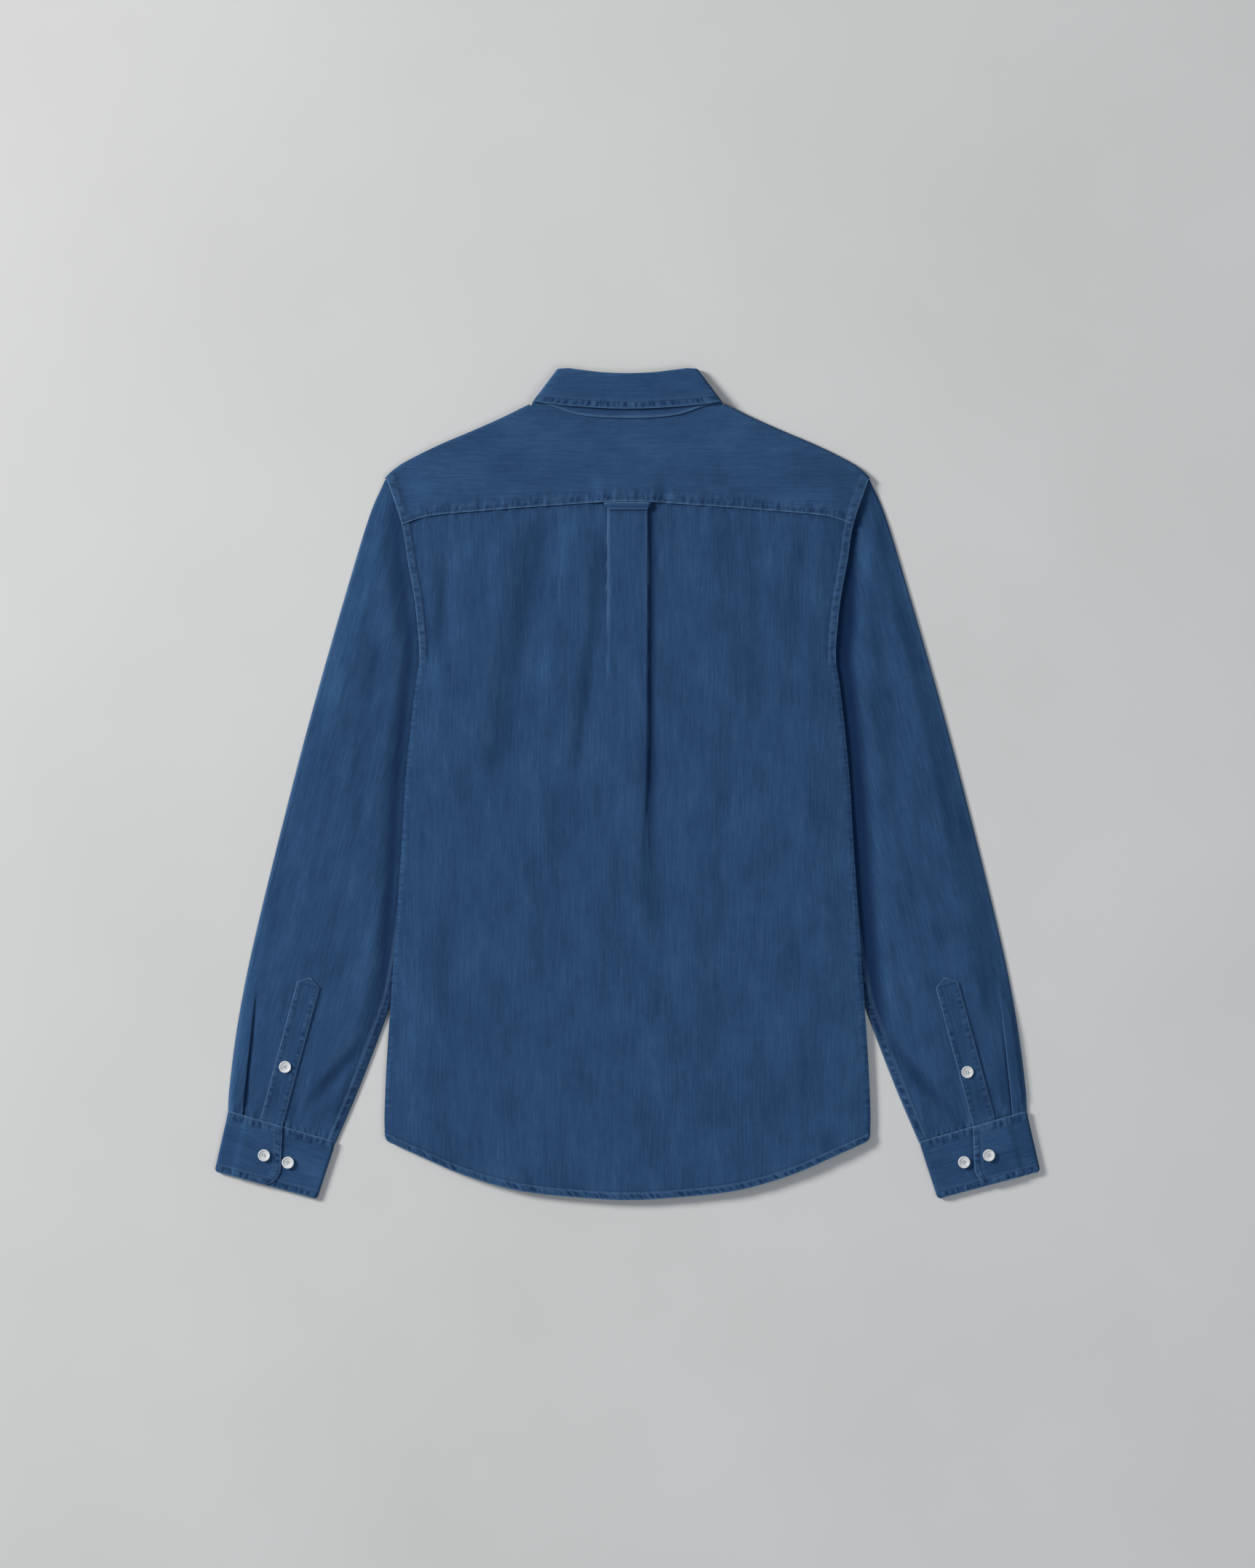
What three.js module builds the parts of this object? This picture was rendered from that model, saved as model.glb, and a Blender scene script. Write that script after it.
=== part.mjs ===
// A long-sleeved button-up denim shirt, laid flat face down with its back up.
// Millimetres. X runs across the shoulders, Y from the hem to the collar, Z up from the
// surface it lies on. The origin is under the middle of its outline.
import * as THREE from "three";

// Driving sizes
const WALL = 1.0; // cloth thickness
const GAP = 0.3; // clearance between pieces at a seam
const LAYER = WALL + GAP; // height of one layer lying on another
const FLOOR_LAYER = WALL / 2; // middle of the wall that lies on the surface

const PLEAT_HALF = 18.9; // half width of the box pleat on the back
const PLEAT_DEPTH = 14; // how far each side of the pleat is folded under
const PLEAT_ROUND = 0.68; // radius of a pressed fold
const PLEAT_RISE = 4 * PLEAT_ROUND; // height of the two layers that a fold adds
const YOKE_LAP = 8; // how far the yoke covers the back's top edge
const YOKE_TURN = 25; // width of yoke past the shoulder fold, on the underside
const NECK_HALF = 84; // half width of the neck opening
const FRONT_NECK_Y = 290; // middle of the front neckline
const BACK_NECK_Y = 366;
const PLACKET_HALF = 17.5; // half width of the overlapping front edges

const BUTTON_RADIUS = 5.75;
const BUTTON_HEIGHT = 2.3;
const BUTTON_RIM = 1.3;
const FRONT_BUTTON_TOP_Y = 245;
const FRONT_BUTTON_STEP = 95;
const FRONT_BUTTONS = 6;
const COLLAR_BUTTON_Y = 303;
const SHOWN_BUTTONS = [
  { on: "cuff_outer", x: -349.7, y: -357.3 },
  { on: "cuff_spare", x: -326.8, y: -364.4 },
  { on: "placket", x: -329.4, y: -272.3 },
  { on: "cuff_outer", x: 347.6, y: -357.3 },
  { on: "cuff_spare", x: 323.8, y: -364 },
  { on: "placket", x: 327, y: -277.2 },
];

// A cuff's corners, on the right side
const CUFF_CORNERS = {
  outerTop: { x: 384.7, y: -316.4 },
  innerTop: { x: 281.1, y: -346.2 },
  outerBottom: { x: 397.6, y: -372.8 },
  innerBottom: { x: 298.6, y: -399.6 },
};
const CUFF_UNDER_START = 0.25; // where the under end begins, as a share of the cuff's width
const SLEEVE_SLIT_TIP = { x: 305.4, y: -186.5 };
const SLEEVE_SLIT_END = { x: 344, y: -330 };
const SLEEVE_PLACKET_HALF = 11.1;
const SLEEVE_PLACKET_POINT = 7; // length of the pointed end
const SLEEVE_PLACKET_CLEAR = 0.8; // clearance above the cuff's seam
const LOOP_HALF = 22.6;
const LOOP_WIDTH = 6.4;
const SLEEVE_HEAD_Y = 293; // outer end of the armhole
const SLEEVE_PIT_Y = 121.5; // inner end of the armhole
const REST = 0.2; // clearance of a piece that lies on a curved one

// How the layers lie on each other: blends are the widths over which a height changes
const FOLD_ENDS = { start: 0.3, fadeIn: 40, fadeOut: 60 };
const OVER_COLLAR = { half: 108, blend: 12, low: 216, rise: 18 };
const OVER_SLEEVE = { reach: 50, blend: 36, top: 118, topBlend: 26, low: -262, lowBlend: 40 };
const OVER_BUTTONS = { half: 62, blend: 40 };
const BACK = { middle: 5.8, side: 4.4, calm: 30, hemCalm: 60, hemFold: 0.3, underYoke: 230 };
const YOKE = { pleatHalf: 38, pleatBlend: 16, settle: 30, flat: 2, roll: 2, neckShare: 0.39 };
const YOKE_TOP = { y: 292, half: 231.5 };
const FRONT = { lowY: -341, topY: 264, topHalf: 228, inset: 0.6, hemInset: 2.5 };
const UNDER_YOKE = { gap: 2.5, slope: 1.13, clear: 1, tipDrop: 7, tipFrom: 190, tipBlend: 30 };
const HEAD = { blend: 16, low: 108, rise: 14, curveEnd: 0.35, lap: 7, lapShift: 0.35, ease: 0.9 };
const TIP_CLEAR = { inward: 2.52, down: 3.36, share: 0.12, along: 0.045 };
const SLEEVE = { full: 2.2, outerBlend: 26, innerBlend: 22, torsoGap: 1.5, cuffBlend: 40 };
const SLEEVE_FREE_Y = -240; // below it a sleeve lies clear of the torso
const PLEAT_LET_OUT = {
  left: { sharpTo: 150, flatAt: 60 },
  right: { sharpTo: 40, flatAt: -120 },
};
const SLEEVE_PLEAT = { depth: 7, opensAt: 0.76, shutsAt: 0.82, blend: 0.12, from: 0.09, to: 0.13 };
const CUFF_WIDTH = 104;
const CUFF_FOLD_ROUND = 1.6;
const CUFF_END = { start: 0.507, slant: 0.127, roundFrom: 0.7, roundLow: 0.457, round: 0.139 };

const DENIM = 0x2a4769;
const PEARL = 0xd9dcdd;

// Outlines: one row for each bend, half widths from the middle line
const TORSO_SIDE = [
  { y: -343, half: 233.5 },
  { y: -323, half: 233.8 },
  { y: -267, half: 231.4 },
  { y: -75, half: 218.4 },
  { y: 0, half: 213.8 },
  { y: 46, half: 209.6 },
  { y: 92, half: 204.4 },
  { y: 122, half: 200.4 },
  { y: 161, half: 203 },
  { y: 184, half: 206 },
  { y: 214, half: 211.5 },
  { y: 250, half: 217.3 },
  { y: 294, half: 232.5 },
];
const HEM = [
  { x: 0, y: -400.4 },
  { x: 46.6, y: -398 },
  { x: 97, y: -392.7 },
  { x: 130.6, y: -385 },
  { x: 164.2, y: -373.8 },
  { x: 197.8, y: -359.1 },
  { x: 233.5, y: -343 },
];
const YOKE_SEAM = [
  { x: 0, y: 272 },
  { x: 61.5, y: 268.8 },
  { x: 136.5, y: 263.2 },
  { x: 192, y: 257.8 },
  { x: 217.3, y: 250 },
];
const NECK_SEAM = [
  { x: 0, y: 353.3 },
  { x: 43, y: 355.6 },
  { x: 73.4, y: 363.4 },
  { x: 84, y: 365.2 },
  { x: 95, y: 365.4 },
];
const SHOULDER = [
  { x: 92.4, y: 368.2 },
  { x: 105.7, y: 359.8 },
  { x: 142, y: 343 },
  { x: 181.3, y: 326.2 },
  { x: 214.6, y: 309.4 },
  { x: 226.1, y: 301 },
  { x: 232.5, y: 294 },
];
const SLEEVE_OUTER = [
  { y: 294, x: 232.5 },
  { y: 267.4, x: 244 },
  { y: 236.6, x: 254.5 },
  { y: 124.6, x: 288.1 },
  { y: 40.6, x: 311.5 },
  { y: -43.4, x: 333.2 },
  { y: -127.4, x: 353.9 },
  { y: -183.4, x: 366.5 },
  { y: -239.4, x: 376.6 },
  { y: -295.4, x: 383.6 },
  { y: -316.4, x: 384.7 },
];
const SLEEVE_INNER = [
  { y: 122, x: 200.3 },
  { y: 88, x: 205.3 },
  { y: 60, x: 201 },
  { y: 0, x: 203 },
  { y: -75, x: 208 },
  { y: -150, x: 216 },
  { y: -205, x: 226 },
  { y: -239.4, x: 237.7 },
  { y: -295.4, x: 259.4 },
  { y: -346.2, x: 281.1 },
];
const COLLAR_FOLD = [
  { x: 0, y: 395.5 },
  { x: 25.6, y: 396.5 },
  { x: 46.6, y: 399 },
  { x: 60.6, y: 400.4 },
  { x: 67.6, y: 399 },
];
const COLLAR_EDGE = [
  { x: 0, y: 360.9 },
  { x: 51.5, y: 363.4 },
  { x: 91.4, y: 367.7 },
];
// Soft folds of the back: a line from one end to the other, its half width and its height
const BACK_FOLDS = [
  { x0: -79, y0: 258, x1: -128, y1: -8, half: 17, rise: -1.3 },
  { x0: -19, y0: 240, x1: -47, y1: 6, half: 11, rise: -1.1 },
  { x0: -170, y0: 237, x1: -184, y1: 118, half: 12, rise: -0.9 },
  { x0: -104, y0: 262, x1: -150, y1: 20, half: 15, rise: 0.9 },
  { x0: 21, y0: 60, x1: 30, y1: -150, half: 14, rise: -0.9 },
  { x0: 120, y0: 250, x1: 133, y1: 60, half: 15, rise: -0.5 },
];
// Folds of a sleeve, on the right side
const SLEEVE_FOLDS = [
  { x0: 226, y0: 272, x1: 213, y1: 132, half: 9, rise: -1.2 },
  { x0: 262, y0: 190, x1: 290, y1: 40, half: 14, rise: 0.5 },
  { x0: 330, y0: -30, x1: 352, y1: -230, half: 12, rise: -0.7 },
  { x0: 256, y0: -251, x1: 311, y1: -316, half: 9, rise: -0.9 },
];

const mix = THREE.MathUtils.lerp;

function ease(t) {
  const k = THREE.MathUtils.clamp(t, 0, 1);
  return k * k * (3 - 2 * k);
}

// Reads a table's column at a key, smoothly between its rows and straight past its ends.
function follow(table, key, column, at) {
  const rising = table[1][key] > table[0][key];
  const rows = rising ? table : [...table].reverse();
  let i = rows.findIndex((row) => row[key] > at) - 1;
  if (i === -2) i = rows.length - 2;
  i = Math.max(i, 0);
  const slope = (k) => {
    const a = rows[Math.max(k - 1, 0)];
    const b = rows[Math.min(k + 1, rows.length - 1)];
    return (b[column] - a[column]) / (b[key] - a[key]);
  };
  const [a, b] = [rows[i], rows[i + 1]];
  const span = b[key] - a[key];
  const t = (at - a[key]) / span;
  if (t < 0) return a[column] + slope(i) * (at - a[key]);
  if (t > 1) return b[column] + slope(i + 1) * (at - b[key]);
  const bend = t * (1 - t) * span;
  const straight = mix(a[column], b[column], t);
  const chord = (b[column] - a[column]) / span;
  return straight + bend * ((1 - t) * (slope(i) - chord) - t * (slope(i + 1) - chord));
}

const torsoHalf = (y) => follow(TORSO_SIDE, "y", "half", y);
const hemY = (x) => follow(HEM, "x", "y", Math.abs(x));
const yokeSeamY = (x) => follow(YOKE_SEAM, "x", "y", Math.abs(x));
const neckSeamY = (x) => follow(NECK_SEAM, "x", "y", Math.abs(x));
const shoulderY = (x) => follow(SHOULDER, "x", "y", Math.abs(x));
const sleeveOuterX = (y) => follow(SLEEVE_OUTER, "y", "x", y);
const sleeveInnerX = (y) => follow(SLEEVE_INNER, "y", "x", y);
const foldY = (x) => follow(COLLAR_FOLD, "x", "y", Math.abs(x));

function foldHeight(folds, x, y) {
  let sum = 0;
  for (const f of folds) {
    const dx = f.x1 - f.x0;
    const dy = f.y1 - f.y0;
    const length = Math.hypot(dx, dy);
    const along = ((x - f.x0) * dx + (y - f.y0) * dy) / length;
    const across = ((x - f.x0) * dy - (y - f.y0) * dx) / length;
    const begun = ease(along / FOLD_ENDS.fadeIn + FOLD_ENDS.start);
    const ended = ease((length - along) / FOLD_ENDS.fadeOut + FOLD_ENDS.start);
    sum += f.rise * begun * ended * Math.exp(-((across / f.half) ** 2));
  }
  return sum;
}

// Lift of what lies over the collar's front leaves
function collarLift(x, y) {
  const { half, blend, low, rise } = OVER_COLLAR;
  return LAYER * ease((half - Math.abs(x)) / blend) * ease((y - low) / rise);
}

// Middle of a front panel's wall. side is -1 for the left front, which laps over the right.
function frontMiddle(side, x, y) {
  const inside = torsoHalf(y) - Math.abs(x);
  const { reach, blend, top, topBlend, low, lowBlend } = OVER_SLEEVE;
  const upTo = ease((top - y) / topBlend) * ease((y - low) / lowBlend);
  const overSleeve = ease((reach - inside) / blend) * upTo;
  const raised = side < 0 ? BUTTON_HEIGHT + GAP : BUTTON_HEIGHT + GAP + LAYER;
  const atPlacket = raised * ease((OVER_BUTTONS.half - Math.abs(x)) / OVER_BUTTONS.blend);
  const lift = Math.max(2 * LAYER * overSleeve, atPlacket, collarLift(x, y));
  return FLOOR_LAYER + lift;
}

const bodyHalf = (y) => torsoHalf(Math.min(y, TORSO_SIDE.at(-1).y));

// Middle of the back panel's wall, without its pleat
function backMiddle(x, y) {
  const half = bodyHalf(y);
  const crown = mix(BACK.middle, BACK.side, ease((Math.abs(x) / half) * 1.25 - 0.1));
  const calm = ease((half - Math.abs(x)) / BACK.calm);
  const nearHem = mix(BACK.hemFold, 1, ease((y - hemY(x)) / BACK.hemCalm));
  const folded = crown + calm * nearHem * foldHeight(BACK_FOLDS, x, y);
  const onFront = frontMiddle(1, x, Math.min(y, BACK.underYoke)) + LAYER + GAP / 2;
  return Math.max(folded, onFront);
}

// The yoke rests on the back's top edge and comes down towards the shoulders.
function yokeMiddle(x, y) {
  const fromSeam = y - yokeSeamY(x);
  const onPleat = PLEAT_RISE * ease((YOKE.pleatHalf - Math.abs(x)) / YOKE.pleatBlend);
  const settle = ease((fromSeam - YOKE_LAP - YOKE.flat) / YOKE.settle);
  return backMiddle(x, yokeSeamY(x)) + mix(LAYER + REST + onPleat, 0, settle);
}

// How far a sleeve is lifted where its head is sewn between front and back
function headLift(x, y) {
  const outside = Math.abs(x) - bodyHalf(y);
  return LAYER * ease(1 - (outside - 1) / HEAD.blend) * ease((y - HEAD.low) / HEAD.rise);
}

// Distance above the line of the seam between sleeve and cuff
function aboveCuff(x, y) {
  const { outerTop, innerTop } = CUFF_CORNERS;
  const slope = (outerTop.y - innerTop.y) / (outerTop.x - innerTop.x);
  const seam = outerTop.y - (outerTop.x - Math.abs(x)) * slope;
  return (y - seam) * Math.cos(Math.atan(slope));
}

function sleeveBottom(x, y) {
  return FLOOR_LAYER + headLift(x, y);
}

function sleeveTop(x, y) {
  const fromOuter = sleeveOuterX(y) - Math.abs(x);
  const fromInner = Math.abs(x) - sleeveInnerX(y);
  const outside = Math.abs(x) - bodyHalf(y);
  const { full, outerBlend, innerBlend, torsoGap, cuffBlend } = SLEEVE;
  const clearOfTorso = y > SLEEVE_FREE_Y ? ease((outside - torsoGap) / outerBlend) : 1;
  const clearOfCuff = ease((aboveCuff(x, y) - 2) / cuffBlend);
  const edges = ease(fromOuter / outerBlend) * ease(fromInner / innerBlend);
  const folds = foldHeight(SLEEVE_FOLDS, Math.abs(x), y);
  const raised = edges * clearOfTorso * clearOfCuff * (full + folds);
  return sleeveBottom(x, y) + LAYER + Math.max(raised, 0);
}

// Makes a closed solid from a grid of points on the middle of a wall. The grid may close
// on itself across, and present(i, j) tells which of its cells are cloth.
function wallSolid(points, thickness, { closed = false, present = () => true } = {}) {
  const rows = points.length;
  const columns = points[0].length;
  const cellColumns = closed ? columns : columns - 1;
  const column = (j) => (closed ? (j + columns) % columns : j);
  const has = (i, j) => {
    if (i < 0 || i >= rows - 1) return false;
    if (!closed && (j < 0 || j >= cellColumns)) return false;
    return present(i, column(j));
  };
  const normals = points.map((row) => row.map(() => new THREE.Vector3()));
  const across = new THREE.Vector3();
  const along = new THREE.Vector3();
  for (let i = 0; i < rows - 1; i++) {
    for (let j = 0; j < cellColumns; j++) {
      if (!has(i, j)) continue;
      const corners = [[i, j], [i, column(j + 1)], [i + 1, column(j + 1)], [i + 1, j]];
      const [a, b, c, d] = corners.map(([m, n]) => points[m][n]);
      across.subVectors(c, a);
      along.subVectors(d, b);
      const face = across.clone().cross(along).normalize();
      for (const [m, n] of corners) normals[m][n].add(face);
    }
  }
  const vertices = [];
  const number = new Map();
  const vertex = (i, j, side) => {
    const key = `${i},${j},${side}`;
    if (!number.has(key)) {
      const normal = normals[i][j].clone().normalize();
      const p = points[i][j].clone().addScaledVector(normal, (side * thickness) / 2);
      number.set(key, vertices.length / 3);
      vertices.push(p.x, p.y, p.z);
    }
    return number.get(key);
  };
  const triangles = [];
  const quad = (a, b, c, d) => triangles.push(a, b, c, a, c, d);
  for (let i = 0; i < rows - 1; i++) {
    for (let j = 0; j < cellColumns; j++) {
      if (!has(i, j)) continue;
      const k = column(j + 1);
      const ring = [[i, j], [i, k], [i + 1, k], [i + 1, j]];
      const over = ring.map(([m, n]) => vertex(m, n, 1));
      const under = ring.map(([m, n]) => vertex(m, n, -1));
      quad(over[0], over[1], over[2], over[3]);
      quad(under[3], under[2], under[1], under[0]);
      const beyond = [has(i - 1, j), has(i, j + 1), has(i + 1, j), has(i, j - 1)];
      beyond.forEach((there, e) => {
        const f = (e + 1) % 4;
        if (!there) quad(over[f], over[e], under[e], under[f]);
      });
    }
  }
  const geometry = new THREE.BufferGeometry();
  geometry.setAttribute("position", new THREE.Float32BufferAttribute(vertices, 3));
  geometry.setIndex(triangles);
  geometry.computeVertexNormals();
  return geometry;
}

const shirt = new THREE.Group();

function denimMaterial() {
  return new THREE.MeshStandardMaterial({ color: DENIM, roughness: 0.92, metalness: 0 });
}

function addPiece(name, geometry, material = denimMaterial()) {
  const mesh = new THREE.Mesh(geometry, material);
  mesh.name = name;
  shirt.add(mesh);
  return mesh;
}

const point = (x, y, z) => new THREE.Vector3(x, y, z);
const steps = (count) => Array.from({ length: count + 1 }, (_, i) => i / count);

// One side of a pressed fold, from the low layer round to the high one, measured from the
// fold's outer edge. open goes from 0, pressed shut, to 1, flat.
function foldSection(depth, open, spread) {
  const r = PLEAT_ROUND;
  const shut = [
    { x: depth - r, z: 0 },
    { x: depth, z: r },
    { x: depth - r, z: 2 * r },
    { x: r, z: 2 * r },
    { x: 0, z: 3 * r },
    { x: r, z: 4 * r },
  ];
  return shut.map((p, k) => ({
    x: mix(p.x, (k - 2.5) * spread, open),
    z: p.z * (1 - open),
  }));
}

// The pleat's state at a height: sharp under the yoke and let out further down
function pleatState(side, y) {
  const { sharpTo, flatAt } = side < 0 ? PLEAT_LET_OUT.left : PLEAT_LET_OUT.right;
  const shut = ease((y - sharpTo) / (FRONT.topY - sharpTo));
  return {
    depth: mix(4 * PLEAT_ROUND, PLEAT_DEPTH, shut),
    open: 1 - ease((y - flatAt) / (sharpTo - flatAt)),
  };
}

function backPanel() {
  const sideSteps = steps(9).slice(1);
  const hemCorner = HEM.at(-1);
  const seamEnd = YOKE_SEAM.at(-1);
  const topHalf = seamEnd.x + 1.7; // at the top edge, under the yoke
  const rows = steps(24).map((v) => {
    const sideY = mix(hemCorner.y, seamEnd.y + YOKE_LAP, v);
    const half = torsoHalf(sideY);
    const yAt = (x) => {
      const low = hemY((x / half) * hemCorner.x);
      const high = yokeSeamY((x / half) * topHalf) + YOKE_LAP;
      return mix(low, high, v);
    };
    const halves = [-1, 1].map((side) => {
      const middleY = yAt(PLEAT_HALF);
      const { depth, open } = pleatState(side, middleY);
      const section = foldSection(depth, open, 3).reverse();
      const pleat = section.map((p) => ({ x: PLEAT_HALF - p.x, z: p.z }));
      const start = pleat[pleat.length - 1].x;
      const plain = sideSteps.map((w) => ({ x: mix(start, half, w ** 0.9), z: 0 }));
      return [...pleat, ...plain].map(({ x, z }) => {
        const y = yAt(side * x);
        return point(side * x, y, backMiddle(side * x, y) + z);
      });
    });
    const centreY = yAt(0);
    const top = (halves[0][0].z + halves[1][0].z) / 2;
    return [...halves[0].reverse(), point(0, centreY, top), ...halves[1]];
  });
  return wallSolid(rows, WALL);
}

// The front neckline is half an ellipse.
function frontNeckY(x) {
  const reach = Math.min(Math.abs(x) / NECK_HALF, 1);
  return mix(FRONT_NECK_Y, BACK_NECK_Y, 1 - Math.sqrt(1 - reach * reach));
}

function frontTopY(x) {
  const { gap, slope, clear, tipDrop, tipFrom, tipBlend } = UNDER_YOKE;
  const wide = Math.max(Math.abs(x), SHOULDER[0].x);
  const drop = (YOKE_TURN + gap) * slope + clear + tipDrop * ease((wide - tipFrom) / tipBlend);
  return Math.min(frontNeckY(x), shoulderY(wide) - drop);
}

function frontPanel(side) {
  const shares = [0, 0.07, 0.15, 0.23, 0.29, 0.335, 0.37, 0.405, 0.45, 0.55, 0.67, 0.79, 0.9, 1];
  const heights = [0, 0.08, 0.16, 0.24, 0.32, 0.4, 0.48, 0.56, 0.64, 0.7, 0.745, 0.79, 0.84];
  heights.push(0.87, 0.895, 0.93, 0.965, 1);
  const rows = heights.map((v) => {
    const sideY = mix(FRONT.lowY, FRONT.topY, v);
    const half = torsoHalf(sideY) - FRONT.inset;
    return shares.map((w) => {
      const x = side * mix(-PLACKET_HALF, half, w);
      const low = hemY((x / half) * HEM.at(-1).x) + FRONT.hemInset;
      const high = frontTopY((x / half) * FRONT.topHalf);
      const y = mix(low, high, v);
      return point(x, y, frontMiddle(side, x, y));
    });
  });
  if (side < 0) rows.forEach((row) => row.reverse());
  return wallSolid(rows, WALL);
}

function yoke() {
  const seamEnd = YOKE_SEAM.at(-1);
  const topRows = 5;
  const edgeTurn = [Math.PI / 4, Math.PI / 2, (3 * Math.PI) / 4, Math.PI];
  const strip = [8, 16, YOKE_TURN];
  const wide = [0, 0.09, 0.18, 0.26, 0.34, 0.4, 0.49, 0.58, 0.68, 0.78, 0.87, 0.94, 1];
  const columns = [...wide.slice(1).reverse().map((w) => -w), ...wide];
  const flat = steps(topRows).map((v) => {
    const half = torsoHalf(mix(seamEnd.y, YOKE_TOP.y, v));
    return columns.map((w) => {
      const x = w * half;
      const topX = w * YOKE_TOP.half;
      const isShoulder = Math.abs(w) > YOKE.neckShare;
      const top = isShoulder ? shoulderY(topX) - YOKE.roll - WALL / 2 : neckSeamY(topX);
      const y = mix(yokeSeamY(w * seamEnd.x), top, v);
      return point(x, y, yokeMiddle(x, y));
    });
  });
  const edge = flat[topRows];
  const outward = columns.map((w, j) => {
    const a = edge[Math.max(j - 1, 0)];
    const b = edge[Math.min(j + 1, columns.length - 1)];
    const isShoulder = Math.abs(w) > YOKE.neckShare;
    return isShoulder ? point(a.y - b.y, b.x - a.x, 0).normalize() : point(0, 1, 0);
  });
  const low = (p) => FLOOR_LAYER + collarLift(p.x, p.y);
  const turned = edgeTurn.map((angle) =>
    edge.map((p, j) => {
      const radius = (p.z - low(p)) / 2;
      const reach = YOKE.roll * Math.sin(angle);
      const q = p.clone().addScaledVector(outward[j], reach);
      q.z = p.z - radius * (1 - Math.cos(angle));
      return q;
    }),
  );
  const under = strip.map((width) =>
    edge.map((p, j) => {
      const q = p.clone().addScaledVector(outward[j], -width);
      q.z = low(q);
      return q;
    }),
  );
  const present = (i, j) => {
    if (i < topRows) return true;
    const nearest = Math.min(Math.abs(columns[j]), Math.abs(columns[j + 1]));
    return nearest > YOKE.neckShare;
  };
  return wallSolid([...flat, ...turned, ...under], WALL, { present });
}

// Places on a sleeve's ring: v runs from its head to its cuff, w from its outer to its
// inner fold. The ring at v below 0 is the edge that laps under the armhole.
function sleeveRing(v) {
  const { outerTop, innerTop } = CUFF_CORNERS;
  const down = Math.max(v, 0);
  const outerY = mix(SLEEVE_HEAD_Y, outerTop.y + 0.7, down);
  const innerY = mix(SLEEVE_PIT_Y, innerTop.y + 0.7, down);
  const outerX = sleeveOuterX(outerY) - WALL / 2;
  const innerX = sleeveInnerX(innerY) + WALL / 2;
  const curve = ease(1 - v / HEAD.curveEnd);
  return (w) => {
    const straight = mix(torsoHalf(SLEEVE_HEAD_Y), torsoHalf(SLEEVE_PIT_Y), w);
    const bulge = torsoHalf(mix(SLEEVE_HEAD_Y, SLEEVE_PIT_Y, w)) - straight;
    const lap = HEAD.lap * Math.sin(Math.min(w * 1.02 + HEAD.lapShift, 1) * Math.PI);
    const tip = ease(1 - w / TIP_CLEAR.share) * ease(1 - v / TIP_CLEAR.along);
    const shift = v < 0 ? -lap : HEAD.ease * curve;
    const x = mix(outerX, innerX, w) + curve * bulge + shift - tip * TIP_CLEAR.inward;
    return { x, y: mix(outerY, innerY, w) - tip * TIP_CLEAR.down };
  };
}

function sleevePleat(v) {
  const { depth, opensAt, shutsAt, blend, from, to } = SLEEVE_PLEAT;
  return {
    depth: mix(4 * PLEAT_ROUND, depth, ease((v - shutsAt) / blend)),
    open: 1 - ease((v - opensAt) / blend),
    at: mix(from, to, ease((v - 0.75) / 0.25)),
  };
}

function sleeve(side) {
  const stations = [-0.02, 0, 0.03, 0.07, 0.12, 0.18, 0.25, 0.33, 0.41, 0.49, 0.57, 0.65];
  stations.push(0.71, 0.77, 0.82, 0.87, 0.91, 0.95, 0.975, 1);
  const rows = stations.map((v) => {
    const ring = sleeveRing(v);
    const width = Math.max(ring(0).x - ring(1).x, 90);
    const place = (w, height, rise = 0) => {
      const { x, y } = ring(w);
      return point(side * x, y, height(x, y) + rise);
    };
    const { depth, open, at } = sleevePleat(v);
    const fold = foldSection(depth, open, 1.2);
    const rise = fold.at(-1).z;
    const beforeFold = [0.03].map((w) => place(w, sleeveTop, rise));
    const pleat = [...fold].reverse().map((p) => place(at - p.x / width, sleeveTop, p.z));
    const afterFold = [0.21, 0.25, 0.34, 0.45, 0.56, 0.67, 0.78, 0.89, 0.97].map((w) =>
      place(w, sleeveTop),
    );
    const below = [0.97, 0.84, 0.68, 0.5, 0.32, 0.15, 0.03].map((w) => place(w, sleeveBottom));
    const middle = (x, y) => (sleeveTop(x, y) + sleeveBottom(x, y)) / 2;
    return [place(0, middle), ...beforeFold, ...pleat, ...afterFold, place(1, middle), ...below];
  });
  if (side < 0) rows.forEach((row) => row.reverse());
  return wallSolid(rows, WALL, { closed: true });
}

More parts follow.
